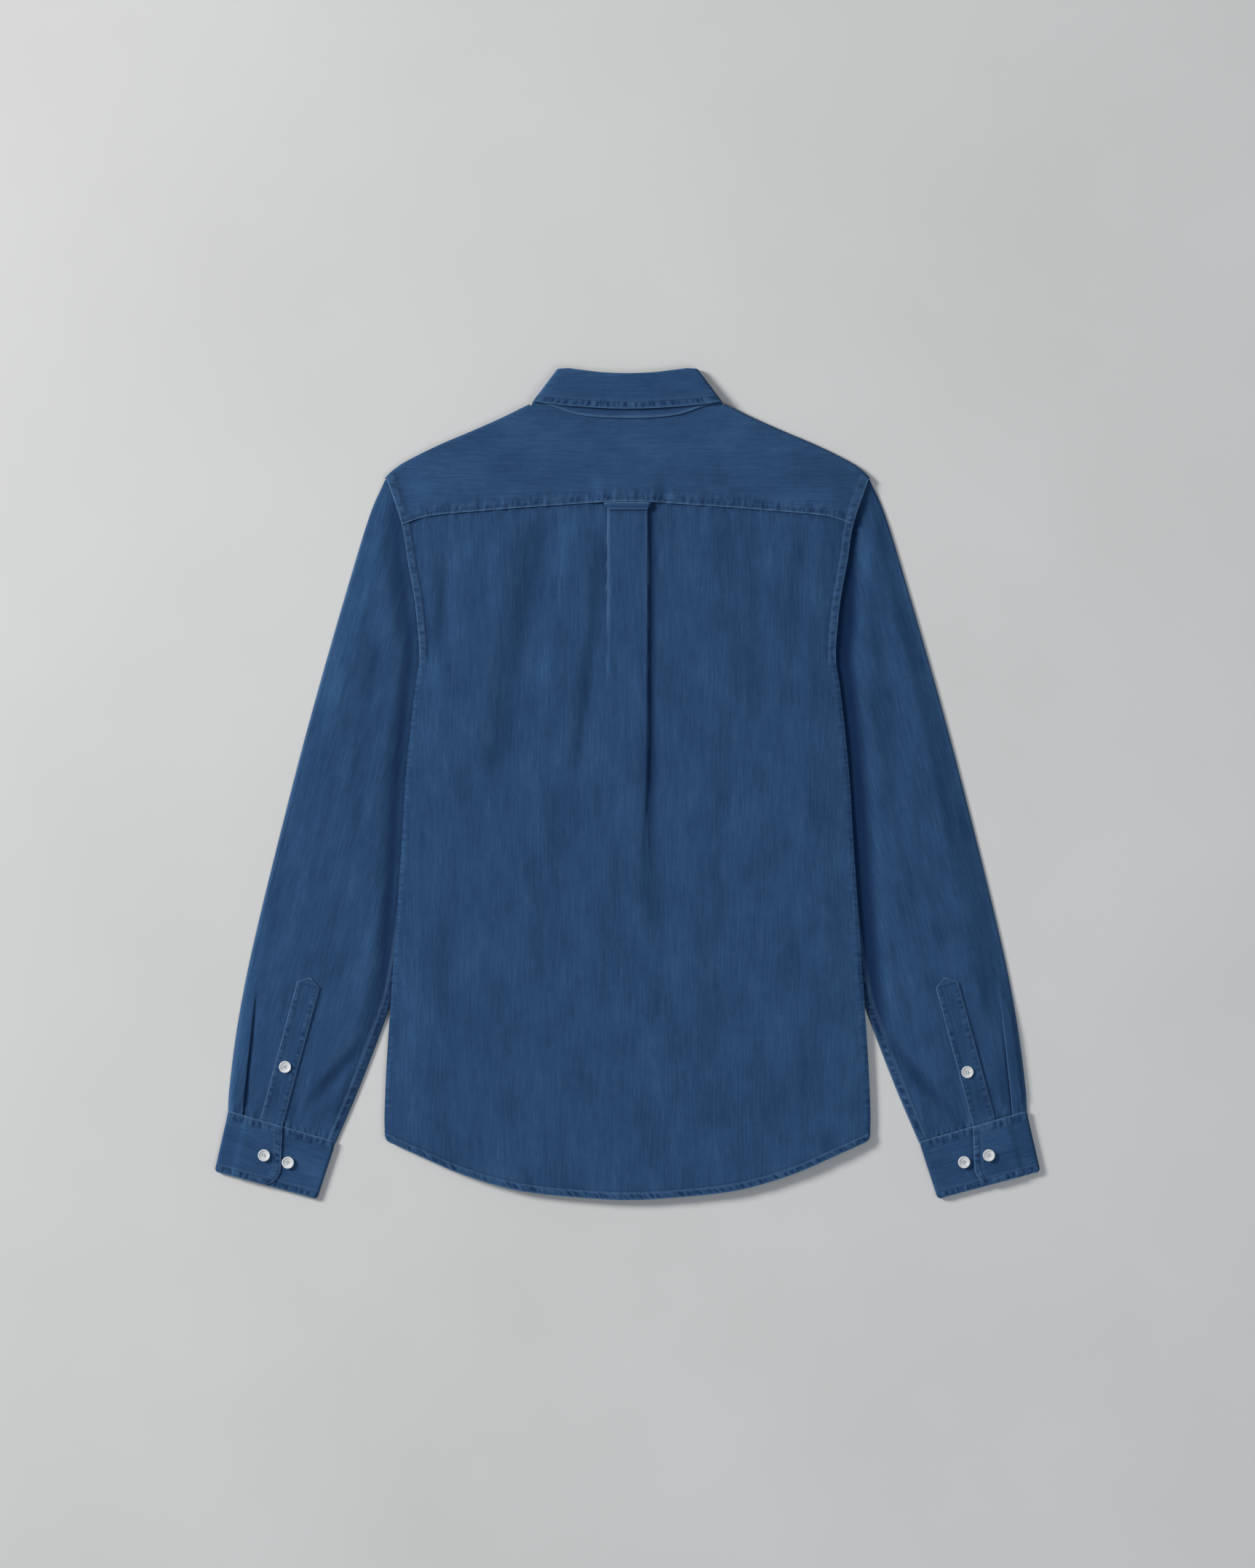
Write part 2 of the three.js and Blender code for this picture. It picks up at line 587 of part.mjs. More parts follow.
// A cuff goes once round the wrist, flattened: from its under end, on top, inwards and
// round below to its outer end, which laps over the under end and has a rounded corner.
function cuff(side) {
  const { outerTop, innerTop, outerBottom, innerBottom } = CUFF_CORNERS;
  const corner = (w, h) => {
    const top = { x: mix(outerTop.x, innerTop.x, w), y: mix(outerTop.y, innerTop.y, w) };
    const low = { x: mix(outerBottom.x, innerBottom.x, w), y: mix(outerBottom.y, innerBottom.y, w) };
    return { x: mix(top.x, low.x, h), y: mix(top.y, low.y, h) };
  };
  const endOf = (h) => {
    const { start, slant, roundFrom, roundLow, round } = CUFF_END;
    if (h < roundFrom) return start + slant * h;
    const rest = (h - roundFrom) / (1 - roundFrom);
    return roundLow + round * Math.sqrt(Math.max(1 - rest * rest, 0));
  };
  const upper = FLOOR_LAYER + 3 * LAYER;
  const round = CUFF_FOLD_ROUND / CUFF_WIDTH;
  const bends = [Math.PI / 4, Math.PI / 2, (3 * Math.PI) / 4];
  const mid = (upper + FLOOR_LAYER) / 2;
  const swing = (upper - FLOOR_LAYER) / 2;
  const heights = [0, 0.25, 0.5, 0.7, 0.8, 0.88, 0.95, 1];
  const rows = heights.map((h) => {
    const path = [];
    for (const w of [CUFF_UNDER_START, 0.42, 0.6, 0.8, 1 - 3 * round]) path.push([w, upper]);
    for (const a of bends) {
      path.push([1 - 2 * round + 1.6 * round * Math.sin(a), mid + swing * Math.cos(a)]);
    }
    for (const w of [1 - 3 * round, 0.72, 0.5, 0.28, 3 * round]) path.push([w, FLOOR_LAYER]);
    for (const a of bends) {
      path.push([2 * round - 1.6 * round * Math.sin(a), mid - swing * Math.cos(a)]);
    }
    const end = endOf(h);
    for (const t of [0.12, 0.35, 0.52, 0.76, 1]) {
      const w = t * end;
      path.push([w, upper + (LAYER + 0.1) * ease((w - 0.14) / 0.07)]);
    }
    return path.map(([w, z]) => {
      const { x, y } = corner(w, h);
      return point(side * x, y, z);
    });
  });
  if (side > 0) rows.reverse();
  return wallSolid(rows, WALL);
}

// The band sewn along a sleeve's slit, with a pointed end
function sleevePlacket(side) {
  const { x: tipX, y: tipY } = SLEEVE_SLIT_TIP;
  const { x: endX, y: endY } = SLEEVE_SLIT_END;
  const length = Math.hypot(endX - tipX, endY - tipY);
  const down = { x: (endX - tipX) / length, y: (endY - tipY) / length };
  const place = (d, across) => ({
    x: tipX + down.x * d - down.y * across,
    y: tipY + down.y * d + down.x * across,
  });
  const heightAt = (d, across) => {
    const { x, y } = place(d, across);
    return aboveCuff(x, y);
  };
  const shares = [0, 0.21, 0.41, 0.61, 0.78, 0.91, 1];
  const rows = [0, ...shares].map((share, i) => {
    const half = i === 0 ? 1 : SLEEVE_PLACKET_HALF;
    return [-1, -0.5, 0, 0.5, 1].map((k) => {
      const across = k * half;
      const fall = heightAt(0, across) - heightAt(1, across);
      const end = (heightAt(0, across) - SLEEVE_PLACKET_CLEAR) / fall;
      const d = i === 0 ? 0 : mix(SLEEVE_PLACKET_POINT, end, share);
      const { x, y } = place(d, across);
      return point(side * x, y, sleeveTop(x, y) + LAYER + REST + 0.05);
    });
  });
  if (side < 0) rows.forEach((row) => row.reverse());
  return wallSolid(rows, WALL);
}

// The collar runs from the left front end round the back to the right front end. At each
// station the fall's fold and lower edge are given, and the way from the fall's layer to
// the stand's, which lies under it at the back, inside it at the side and over it in front.
const COLLAR = {
  foldHalf: 67.6,
  edgeHalf: 91.4,
  edgeClear: 0.9,
  sideRound: 3,
  point: { x: 61, y: 258 },
  frontTop: { x: 5, y: 320 },
  backHeight: 7.9,
  nested: 1.7,
  standInset: 3.9,
  standLow: { x: 84.5, y: 367.2, round: 1.6 },
  standEnd: { x: -12, y: 315.5 },
};

const yokeAtNeck = (x) => yokeMiddle(x, neckSeamY(Math.min(Math.abs(x), 80)) - 2);

function collarLine({ kind, side, q, a, t }) {
  const { foldHalf, edgeHalf, edgeClear, sideRound, backHeight, nested } = COLLAR;
  const inFold = foldHalf - sideRound - WALL / 2;
  const inEdge = edgeHalf - sideRound - WALL / 2;
  const cornerY = foldY(inFold) - WALL / 2;
  const edgeZ = (x) => yokeAtNeck(x) + 2 * LAYER + edgeClear;
  let line;
  if (kind === "back") {
    line = {
      fold: point(inFold * q, foldY(inFold * q) - WALL / 2, backHeight),
      edge: point(inEdge * q, follow(COLLAR_EDGE, "x", "y", inEdge * q), edgeZ(inEdge * q)),
      inward: point(0, 0, -nested),
    };
  } else if (kind === "side") {
    const reach = sideRound * Math.sin(a);
    const turn = (1 + Math.cos(a)) / 2;
    line = {
      fold: point(inFold + reach, cornerY, mix(FLOOR_LAYER, backHeight, turn)),
      edge: point(inEdge + reach, COLLAR_EDGE.at(-1).y, mix(FLOOR_LAYER, edgeZ(inEdge), turn)),
      inward: point(-nested * Math.sin(a), 0, -nested * Math.cos(a)),
    };
  } else {
    const { point: tip, frontTop } = COLLAR;
    const fold = point(mix(inFold, frontTop.x, t), mix(cornerY, frontTop.y, t), FLOOR_LAYER);
    const standZ = frontMiddle(side, fold.x, fold.y) + REST;
    line = {
      fold,
      edge: point(mix(inEdge, tip.x, t), mix(COLLAR_EDGE.at(-1).y, tip.y, t), FLOOR_LAYER),
      inward: point(0, 0, standZ - FLOOR_LAYER),
    };
  }
  const outward = line.fold.clone().sub(line.edge).setZ(0).normalize();
  return { ...line, outward };
}

function roundCollar(column, frontShares) {
  const radians = THREE.MathUtils.degToRad;
  const half = (side) => [
    ...[0, 0.25, 0.5, 0.72, 0.88].map((q) => ({ kind: "back", side, q })),
    ...[0, 45, 90, 135, 180].map((degrees) => ({ kind: "side", side, a: radians(degrees) })),
    ...frontShares.map((t) => ({ kind: "front", side, t })),
  ];
  const columns = (side) =>
    half(side).map((station) => column(station).map((p) => point(side * p.x, p.y, p.z)));
  return [...columns(-1).slice(1).reverse(), ...columns(1)];
}

function collarFall() {
  const inset = 3;
  const columns = roundCollar((station) => {
    const { fold, edge, inward, outward } = collarLine(station);
    const at = (back, layer) =>
      fold.clone().addScaledVector(outward, -back).addScaledVector(inward, layer);
    const rolled = [at(inset, 1), at(0.7, 0.9), at(0, 0.5), at(0.7, 0.1), at(inset, 0)];
    const leaf = [0.35, 0.7, 1].map((w) => at(inset, 0).lerp(edge, w));
    return [...rolled, ...leaf];
  }, [0.12, 0.3, 0.5, 0.7, 0.85, 1]);
  return wallSolid(columns, WALL);
}

function collarStand() {
  const { standInset, standLow, standEnd } = COLLAR;
  const inLow = standLow.x - standLow.round;
  const lowZ = (x) => yokeAtNeck(x) + LAYER + REST;
  const columns = roundCollar((station) => {
    const { kind, side, q, a, t } = station;
    const { fold, inward, outward } = collarLine(t > 1 ? { ...station, t: 1 } : station);
    const top = fold.clone().addScaledVector(outward, -standInset).add(inward);
    let low;
    if (kind === "back") {
      const x = inLow * q;
      low = point(x, neckSeamY(x) - 1 + 2.8 * ease((q - 0.6) / 0.4), lowZ(x));
    } else if (kind === "side") {
      const under = frontMiddle(side, inLow, standLow.y) + REST;
      const z = mix(under, lowZ(inLow), (1 + Math.cos(a)) / 2);
      low = point(inLow + standLow.round * Math.sin(a), standLow.y, z);
    } else {
      const x = t > 1 ? standEnd.x : mix(inLow, COLLAR.frontTop.x, t);
      low = point(x, frontNeckY(x) + 1.3 + 2.6 * (x / NECK_HALF) ** 2, 0);
      low.z = frontMiddle(side, low.x, low.y) + REST;
    }
    if (t > 1) {
      top.x = standEnd.x;
      top.y = standEnd.y;
      top.z = frontMiddle(side, top.x, top.y) + REST;
    }
    return [0, 0.35, 0.7, 1].map((w) => top.clone().lerp(low, w));
  }, [0.12, 0.3, 0.5, 0.7, 0.85, 1, 1.2]);
  return wallSolid(columns, WALL);
}

// The hanging loop lies across the top of the pleat, its ends caught in the yoke seam.
function lockerLoop() {
  const taper = 2.2;
  const ends = { from: 20.3, blend: 2.3, drop: 1.6 };
  const rows = [0, 1].map((v) =>
    [-1, -0.93, -0.86, -0.4, 0, 0.4, 0.86, 0.93, 1].map((w) => {
      const x = w * mix(LOOP_HALF - taper, LOOP_HALF, v);
      const top = yokeSeamY(x) - 0.7;
      const y = mix(top - LOOP_WIDTH, top, v);
      const drop = ends.drop * ease((Math.abs(x) - ends.from) / ends.blend);
      return point(x, y, backMiddle(x, y) + PLEAT_RISE + LAYER + 0.1 - drop);
    }),
  );
  return wallSolid(rows, WALL);
}

function button(dished) {
  const [r, h] = [BUTTON_RADIUS, BUTTON_HEIGHT];
  const sunk = h - 0.5;
  const dish = [
    [r - BUTTON_RIM, h],
    [r - BUTTON_RIM - 0.4, sunk],
    [0, sunk],
  ];
  const profile = [[0, 0], [r, 0], [r, h], ...(dished ? dish : [[0, h]])];
  const outline = profile.map(([x, y]) => new THREE.Vector2(x, y));
  const geometry = new THREE.LatheGeometry(outline, 16);
  geometry.rotateX(Math.PI / 2);
  return geometry;
}

function pearlMaterial() {
  return new THREE.MeshStandardMaterial({ color: PEARL, roughness: 0.35, metalness: 0 });
}

function addButton(name, x, y, z, dished) {
  const mesh = addPiece(name, button(dished), pearlMaterial());
  mesh.position.set(x, y, z);
}

addPiece("back_panel", backPanel());
addPiece("front_left", frontPanel(-1));
addPiece("front_right", frontPanel(1));
addPiece("yoke", yoke());
addPiece("collar_stand", collarStand());
addPiece("collar_fall", collarFall());
addPiece("locker_loop", lockerLoop());
for (const [side, end] of [[-1, "left"], [1, "right"]]) {
  addPiece(`sleeve_${end}`, sleeve(side));
  addPiece(`cuff_${end}`, cuff(side));
  addPiece(`sleeve_placket_${end}`, sleevePlacket(side));
}

// Buttons that show: one on each sleeve's slit and two on each cuff
const cuffUpper = FLOOR_LAYER + 3 * LAYER + WALL / 2 + GAP;
for (const b of SHOWN_BUTTONS) {
  const side = Math.sign(b.x);
  const end = side < 0 ? "left" : "right";
  const onPlacket = sleeveTop(Math.abs(b.x), b.y) + LAYER + 0.25 + WALL / 2 + GAP;
  const onOuter = cuffUpper + LAYER + 0.1;
  const base = { placket: onPlacket, cuff_outer: onOuter, cuff_spare: cuffUpper }[b.on];
  addButton(`button_${b.on}_${end}`, b.x, b.y, base, true);
}

// Front buttons, under the left front's edge
for (let i = 0; i < FRONT_BUTTONS; i++) {
  addButton(`button_front_${i + 1}`, 0, FRONT_BUTTON_TOP_Y - i * FRONT_BUTTON_STEP, 0, false);
}
addButton("button_collar", 0, COLLAR_BUTTON_Y, 0, false);

export default shirt;
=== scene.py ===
# A washed denim shirt laid flat, face down with its back up.
# Shapes are worked out in millimetres, as in the pattern, and made in metres.
import bpy
import math
import numpy as np
from mathutils.bvhtree import BVHTree
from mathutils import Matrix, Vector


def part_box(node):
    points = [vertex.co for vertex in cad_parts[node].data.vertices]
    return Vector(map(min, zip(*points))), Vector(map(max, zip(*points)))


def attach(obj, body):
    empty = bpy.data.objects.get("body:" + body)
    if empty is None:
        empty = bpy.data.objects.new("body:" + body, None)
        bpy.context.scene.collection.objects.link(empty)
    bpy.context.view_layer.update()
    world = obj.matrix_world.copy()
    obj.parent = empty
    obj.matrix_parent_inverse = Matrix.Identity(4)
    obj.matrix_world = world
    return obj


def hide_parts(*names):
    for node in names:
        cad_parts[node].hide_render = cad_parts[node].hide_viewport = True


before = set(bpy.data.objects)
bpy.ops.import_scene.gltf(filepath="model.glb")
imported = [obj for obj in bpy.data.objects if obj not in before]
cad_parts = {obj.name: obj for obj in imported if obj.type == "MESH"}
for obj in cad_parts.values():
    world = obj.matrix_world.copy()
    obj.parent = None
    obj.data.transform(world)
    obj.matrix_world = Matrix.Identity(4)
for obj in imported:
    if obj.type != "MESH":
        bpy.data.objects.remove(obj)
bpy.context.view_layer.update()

MM = 0.001
WALL = 1.0
GAP = 0.3
LAYER = WALL + GAP
FLOOR_LAYER = WALL / 2

PLEAT_HALF = 18.9
PLEAT_DEPTH = 14.0
PLEAT_ROUND = 0.68
PLEAT_RISE = 4 * PLEAT_ROUND
YOKE_LAP = 8.0
YOKE_TURN = 25.0
NECK_HALF = 84.0
FRONT_NECK_Y = 290.0
BACK_NECK_Y = 366.0
PLACKET_HALF = 17.5
FELL = 7.0  # width of the felled seams and of the rolled hem
HEM_CORNER = 5.0

BUTTON_RADIUS = 5.75
BUTTON_HEIGHT = 2.3
BUTTON_RIM = 1.3

# Outlines, from the middle line outwards
TORSO_SIDE = [  # y, half width
    (-343, 233.5), (-323, 233.8), (-267, 231.4), (-75, 218.4), (0, 213.8), (46, 209.6),
    (92, 204.4), (122, 200.4), (161, 203), (184, 206), (214, 211.5), (250, 217.3), (294, 232.5),
]
HEM = [  # x, y
    (0, -400.4), (46.6, -398), (97, -392.7), (130.6, -385), (164.2, -373.8), (197.8, -359.1),
    (233.5, -343),
]
YOKE_SEAM = [(0, 272), (61.5, 268.8), (136.5, 263.2), (192, 257.8), (217.3, 250)]  # x, y
NECK_SEAM = [(0, 353.3), (43, 355.6), (73.4, 363.4), (84, 365.2), (95, 365.4)]  # x, y
SHOULDER = [  # x, y
    (92.4, 368.2), (105.7, 359.8), (142, 343), (181.3, 326.2), (214.6, 309.4), (226.1, 301),
    (232.5, 294),
]
SLEEVE_OUTER = [  # y, x
    (-316.4, 384.7), (-295.4, 383.6), (-239.4, 376.6), (-183.4, 366.5), (-127.4, 353.9),
    (-43.4, 333.2), (40.6, 311.5), (124.6, 288.1), (236.6, 254.5), (267.4, 244), (294, 232.5),
]
SLEEVE_INNER = [  # y, x
    (-346.2, 281.1), (-295.4, 259.4), (-239.4, 237.7), (-205, 226), (-150, 216), (-75, 208),
    (0, 203), (60, 201), (88, 201), (122, 198.4),
]
COLLAR_FOLD = [(0, 395.5), (25.6, 396.5), (46.6, 399), (60.6, 400.4), (67.6, 399)]  # x, y
COLLAR_EDGE = [(0, 360.9), (51.5, 363.4), (91.4, 367.7)]  # x, y

CUFF_OUTER_TOP = (384.7, -316.4)
CUFF_INNER_TOP = (281.1, -346.2)
CUFF_OUTER_BOTTOM = (397.6, -372.8)
CUFF_INNER_BOTTOM = (298.6, -399.6)
CUFF_UNDER_START = 0.25
SLIT_TIP = (305.4, -186.5)
SLIT_END = (344, -330)
SLEEVE_PLACKET_HALF = 11.1
SLEEVE_PLACKET_POINT = 7.0
LOOP_HALF = 22.6
LOOP_WIDTH = 6.4

BACK_LIFT = 1.5  # how far the back's folds stand clear of the fronts
SLEEVE_FULL = 3.4

# Large soft folds: ends of the line, half width, rise
BACK_FOLDS = [
    (-79, 258, -128, -8, 15, -2.2),
    (-19, 240, -47, 6, 8, -2.0),
    (-170, 237, -184, 118, 9, -1.5),
    (-104, 262, -150, 20, 13, 1.3),
    (-48, 262, -84, 30, 9, 0.9),
    (21, 60, 30, -150, 12, -1.6),
    (120, 250, 133, 60, 11, -1.1),
    (168, 244, 160, 90, 8, -0.9),
    (74, 262, 88, 40, 12, 0.8),
    (-60, -10, -96, -260, 17, -0.9),
    (-150, 30, -176, -240, 14, -0.8),
    (96, -60, 84, -290, 16, -0.8),
    (170, 40, 186, -220, 15, 0.8),
]
SLEEVE_FOLDS = [
    (226, 272, 213, 132, 9, -1.2),
    (262, 190, 290, 40, 12, 0.9),
    (238, 150, 262, -20, 10, -1.2),
    (330, -30, 352, -230, 10, -1.2),
    (250, -246, 316, -322, 7, -2.4),
    (300, 30, 330, -120, 10, -0.8),
]


def ease(t):
    k = np.clip(t, 0, 1)
    return k * k * (3 - 2 * k)


def mix(a, b, t):
    return a + (b - a) * t


def follow(table, at):
    """Reads a table smoothly between its rows and straight past its ends."""
    keys = np.array([row[0] for row in table], float)
    values = np.array([row[1] for row in table], float)
    at = np.asarray(at, float)
    slopes = np.empty(len(keys))
    slopes[1:-1] = (values[2:] - values[:-2]) / (keys[2:] - keys[:-2])
    slopes[0] = 0 if keys[0] == 0 else (values[1] - values[0]) / (keys[1] - keys[0])
    slopes[-1] = (values[-1] - values[-2]) / (keys[-1] - keys[-2])
    i = np.clip(np.searchsorted(keys, at) - 1, 0, len(keys) - 2)
    span = keys[i + 1] - keys[i]
    t = (at - keys[i]) / span
    inside = np.clip(t, 0, 1)
    chord = (values[i + 1] - values[i]) / span
    bend = inside * (1 - inside) * span
    curve = (1 - inside) * (slopes[i] - chord) - inside * (slopes[i + 1] - chord)
    past = np.where(t < 0, slopes[i] * t, np.where(t > 1, slopes[i + 1] * (t - 1), 0)) * span
    return mix(values[i], values[i + 1], inside) + bend * curve + past


def torso_half(y):
    return follow(TORSO_SIDE, y)


def hem_y(x):
    return follow(HEM, np.abs(x))


def yoke_seam_y(x):
    return follow(YOKE_SEAM, np.abs(x))


def neck_seam_y(x):
    return follow(NECK_SEAM, np.abs(x))


def shoulder_y(x):
    return follow(SHOULDER, np.abs(x))


def collar_fold_y(x):
    return follow(COLLAR_FOLD, np.abs(x))


def fold_height(folds, x, y):
    total = 0
    for x0, y0, x1, y1, half, rise in folds:
        length = math.hypot(x1 - x0, y1 - y0)
        along = ((x - x0) * (x1 - x0) + (y - y0) * (y1 - y0)) / length
        across = ((x - x0) * (y1 - y0) - (y - y0) * (x1 - x0)) / length
        ends = ease(along / 40 + 0.3) * ease((length - along) / 60 + 0.3)
        total = total + rise * ends * np.exp(-((across / half) ** 2))
    return total


def ripple(s, seed, length=12.0):
    """An uneven wave along a seam, between about -1 and 1."""
    waves = [(1.0, 0.55), (0.618, 0.3), (1.73, 0.3)]
    total = 0
    for k, (stretch, share) in enumerate(waves):
        phase = seed * 2.399 + k * 1.7
        drift = 1.3 * np.sin(s / (length * 4.1 * stretch) + phase)
        total = total + share * np.sin(2 * math.pi * s / (length * stretch) + phase + drift)
    return total


def collar_lift(x, y):
    return LAYER * ease((108 - np.abs(x)) / 12) * ease((y - 216) / 18)


def front_middle(side, x, y):
    inside = torso_half(y) - np.abs(x)
    over_sleeve = ease((50 - inside) / 36) * ease((140 - y) / 26) * ease((y + 262) / 40)
    raised = BUTTON_HEIGHT + GAP + (LAYER if side > 0 else 0)
    at_placket = raised * ease((62 - np.abs(x)) / 40)
    lift = np.maximum(np.maximum(2 * LAYER * over_sleeve, at_placket), collar_lift(x, y))
    return FLOOR_LAYER + lift


def back_middle(x, y):
    half = torso_half(np.minimum(y, 294))
    calm = ease((half - np.abs(x)) / 30)
    crown = mix(5.8, 5.2, ease(np.abs(x) / half * 1.25 - 0.1)) + BACK_LIFT * calm
    near_hem = ease((y - hem_y(x)) / 60)
    folded = crown + calm * mix(0.3, 1, near_hem) * fold_height(BACK_FOLDS, x, y)
    return np.maximum(folded, front_middle(1, x, np.minimum(y, 230)) + LAYER + 0.15)


def yoke_middle(x, y):
    seam = yoke_seam_y(x)
    on_pleat = PLEAT_RISE * ease((38 - np.abs(x)) / 16)
    settle = ease((y - seam - YOKE_LAP - 2) / 30)
    return back_middle(x, seam) + mix(LAYER + 0.2 + on_pleat, 0, settle)


def head_lift(x, y):
    outside = np.abs(x) - torso_half(np.minimum(y, 294))
    return LAYER * ease(1 - (outside - 1) / 16) * ease((y - 108) / 14)


def above_cuff(x, y):
    slope = (CUFF_OUTER_TOP[1] - CUFF_INNER_TOP[1]) / (CUFF_OUTER_TOP[0] - CUFF_INNER_TOP[0])
    seam = CUFF_OUTER_TOP[1] - (CUFF_OUTER_TOP[0] - np.abs(x)) * slope
    return (y - seam) * math.cos(math.atan(slope))


def sleeve_bottom(x, y):
    return FLOOR_LAYER + head_lift(x, y)


def sleeve_top(x, y):
    from_outer = follow(SLEEVE_OUTER, y) - np.abs(x)
    from_inner = np.abs(x) - follow(SLEEVE_INNER, y)
    outside = np.abs(x) - torso_half(np.minimum(y, 294))
    # the right sleeve's valley is the wider one
    valley = np.where(x > 0, mix(1.5, 7, ease((250 - y) / 110)), 1.5)
    clear_of_torso = np.where(y > -240, ease((outside - valley) / 24), 1)
    clear_of_cuff = ease((above_cuff(x, y) - 2) / 40)
    edges = ease(from_outer / 26) * ease(from_inner / 22)
    full = edges * clear_of_torso * clear_of_cuff * (SLEEVE_FULL + fold_height(SLEEVE_FOLDS, np.abs(x), y))
    return sleeve_bottom(x, y) + LAYER + np.maximum(full, 0)


def spaced(*stretches):
    """Places from 0 to 1: each stretch is its end and its number of steps."""
    places = [0.0]
    for end, count in stretches:
        places.extend(np.linspace(places[-1], end, count + 1)[1:])
    return np.array(places)


def put(obj, *nodes, slot="denim"):
    """Puts a finished piece on the shirt in place of its plain solids."""
    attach(obj, "root")
    if nodes:
        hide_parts(*nodes)
    return obj


def smooth(obj, degrees=40):
    bpy.ops.object.select_all(action="DESELECT")
    bpy.context.view_layer.objects.active = obj
    obj.select_set(True)
    bpy.ops.object.shade_smooth_by_angle(angle=math.radians(degrees))
    obj.select_set(False)


def mesh_object(name, corners, faces, material):
    mesh = bpy.data.meshes.new(name)
    mesh.from_pydata((corners * MM).tolist(), [], faces)
    mesh.materials.append(material)
    mesh.update()
    obj = bpy.data.objects.new(name, mesh)
    bpy.context.scene.collection.objects.link(obj)
    return obj


def sewn(*bands):
    """The strongest sewn band at each point: its strength, and the place along and across
    it. Each band is given as those three."""
    shape = np.broadcast_shapes(*(np.shape(v) for band in bands for v in band))
    best = np.zeros(shape + (3,))
    for band in bands:
        strength, along, across = (np.broadcast_to(v, shape) for v in band)
        found = np.stack([strength, along * MM, across * MM], -1)
        best = np.where((strength > best[..., 0])[..., None], found, best)
    return best


def cloth(name, middle, grain, wear, closed=False, cells=None, shade=0.0, seam=None):
    """A cloth wall of one thickness round a grid of points on its middle. grain gives each
    point's place across and along the warp, wear how faded it is, shade how much painted
    shade darkens it, and seam the sewn band that puckers it."""
    rows, columns = middle.shape[:2]
    across = columns if closed else columns - 1
    i, j = np.meshgrid(np.arange(rows - 1), np.arange(across), indexing="ij")
    right = (j + 1) % columns
    ring = np.stack([i * columns + j, i * columns + right, (i + 1) * columns + right,
                     (i + 1) * columns + j], -1)
    there = np.ones(i.shape, bool) if cells is None else cells
    points = middle.reshape(-1, 3)
    quads = ring[there]
    a, b, c, d = (points[quads[:, k]] for k in range(4))
    face = np.cross(c - a, d - b)
    face /= np.maximum(np.linalg.norm(face, axis=1, keepdims=True), 1e-9)
    normals = np.zeros_like(points)
    for k in range(4):
        np.add.at(normals, quads[:, k], face)
    normals /= np.maximum(np.linalg.norm(normals, axis=1, keepdims=True), 1e-9)
    number = -np.ones(len(points), int)
    used = np.unique(quads)
    number[used] = np.arange(len(used))
    count = len(used)
    over = points[used] + normals[used] * WALL / 2
    under = points[used] - normals[used] * WALL / 2
    faces = [number[quads], number[quads[:, ::-1]] + count]
    padded = np.zeros((rows + 1, across + 2), bool)
    padded[1:-1, 1:-1] = there
    if closed:
        padded[1:-1, 0] = there[:, -1]
        padded[1:-1, -1] = there[:, 0]
    beyond = [padded[:-2, 1:-1], padded[1:-1, 2:], padded[2:, 1:-1], padded[1:-1, :-2]]
    for e in range(4):
        bare = there & ~beyond[e]
        first = number[ring[bare][:, e]]
        second = number[ring[bare][:, (e + 1) % 4]]
        faces.append(np.stack([second, first, first + count, second + count], -1))
    faces = np.concatenate(faces).tolist()
    obj = mesh_object(name, np.concatenate([over, under]), faces, DENIM)
    layer = obj.data.attributes.new("grain", "FLOAT_VECTOR", "POINT")
    flat = np.zeros((len(points), 3))
    flat[:, :2] = grain.reshape(-1, 2) * MM
    layer.data.foreach_set("vector", np.tile(flat[used], (2, 1)).astype(np.float32).ravel())
    layer = obj.data.attributes.new("seam", "FLOAT_VECTOR", "POINT")
    bands = np.zeros((len(points), 3)) if seam is None else seam.reshape(-1, 3)
    layer.data.foreach_set("vector", np.tile(bands[used], (2, 1)).astype(np.float32).ravel())
    # shade holds painted shade, which the denim mixes in as a darker colour
    for label, data in (("wear", wear), ("shade", shade)):
        layer = obj.data.attributes.new(label, "FLOAT", "POINT")
        flat = np.broadcast_to(np.clip(data, 0, 1), (rows, columns)).reshape(-1)[used]
        layer.data.foreach_set("value", np.tile(flat, 2).astype(np.float32))
    smooth(obj)
    return obj


# Materials

def shader(name, rough, sheen=0.0):
    material = bpy.data.materials.new(name)
    material.use_nodes = True
    surface = material.node_tree.nodes["Principled BSDF"]
    surface.inputs["Roughness"].default_value = rough
    surface.inputs["Specular IOR Level"].default_value = 0.25
    surface.inputs["Sheen Weight"].default_value = sheen
    surface.inputs["Sheen Roughness"].default_value = 0.5
    return material, surface


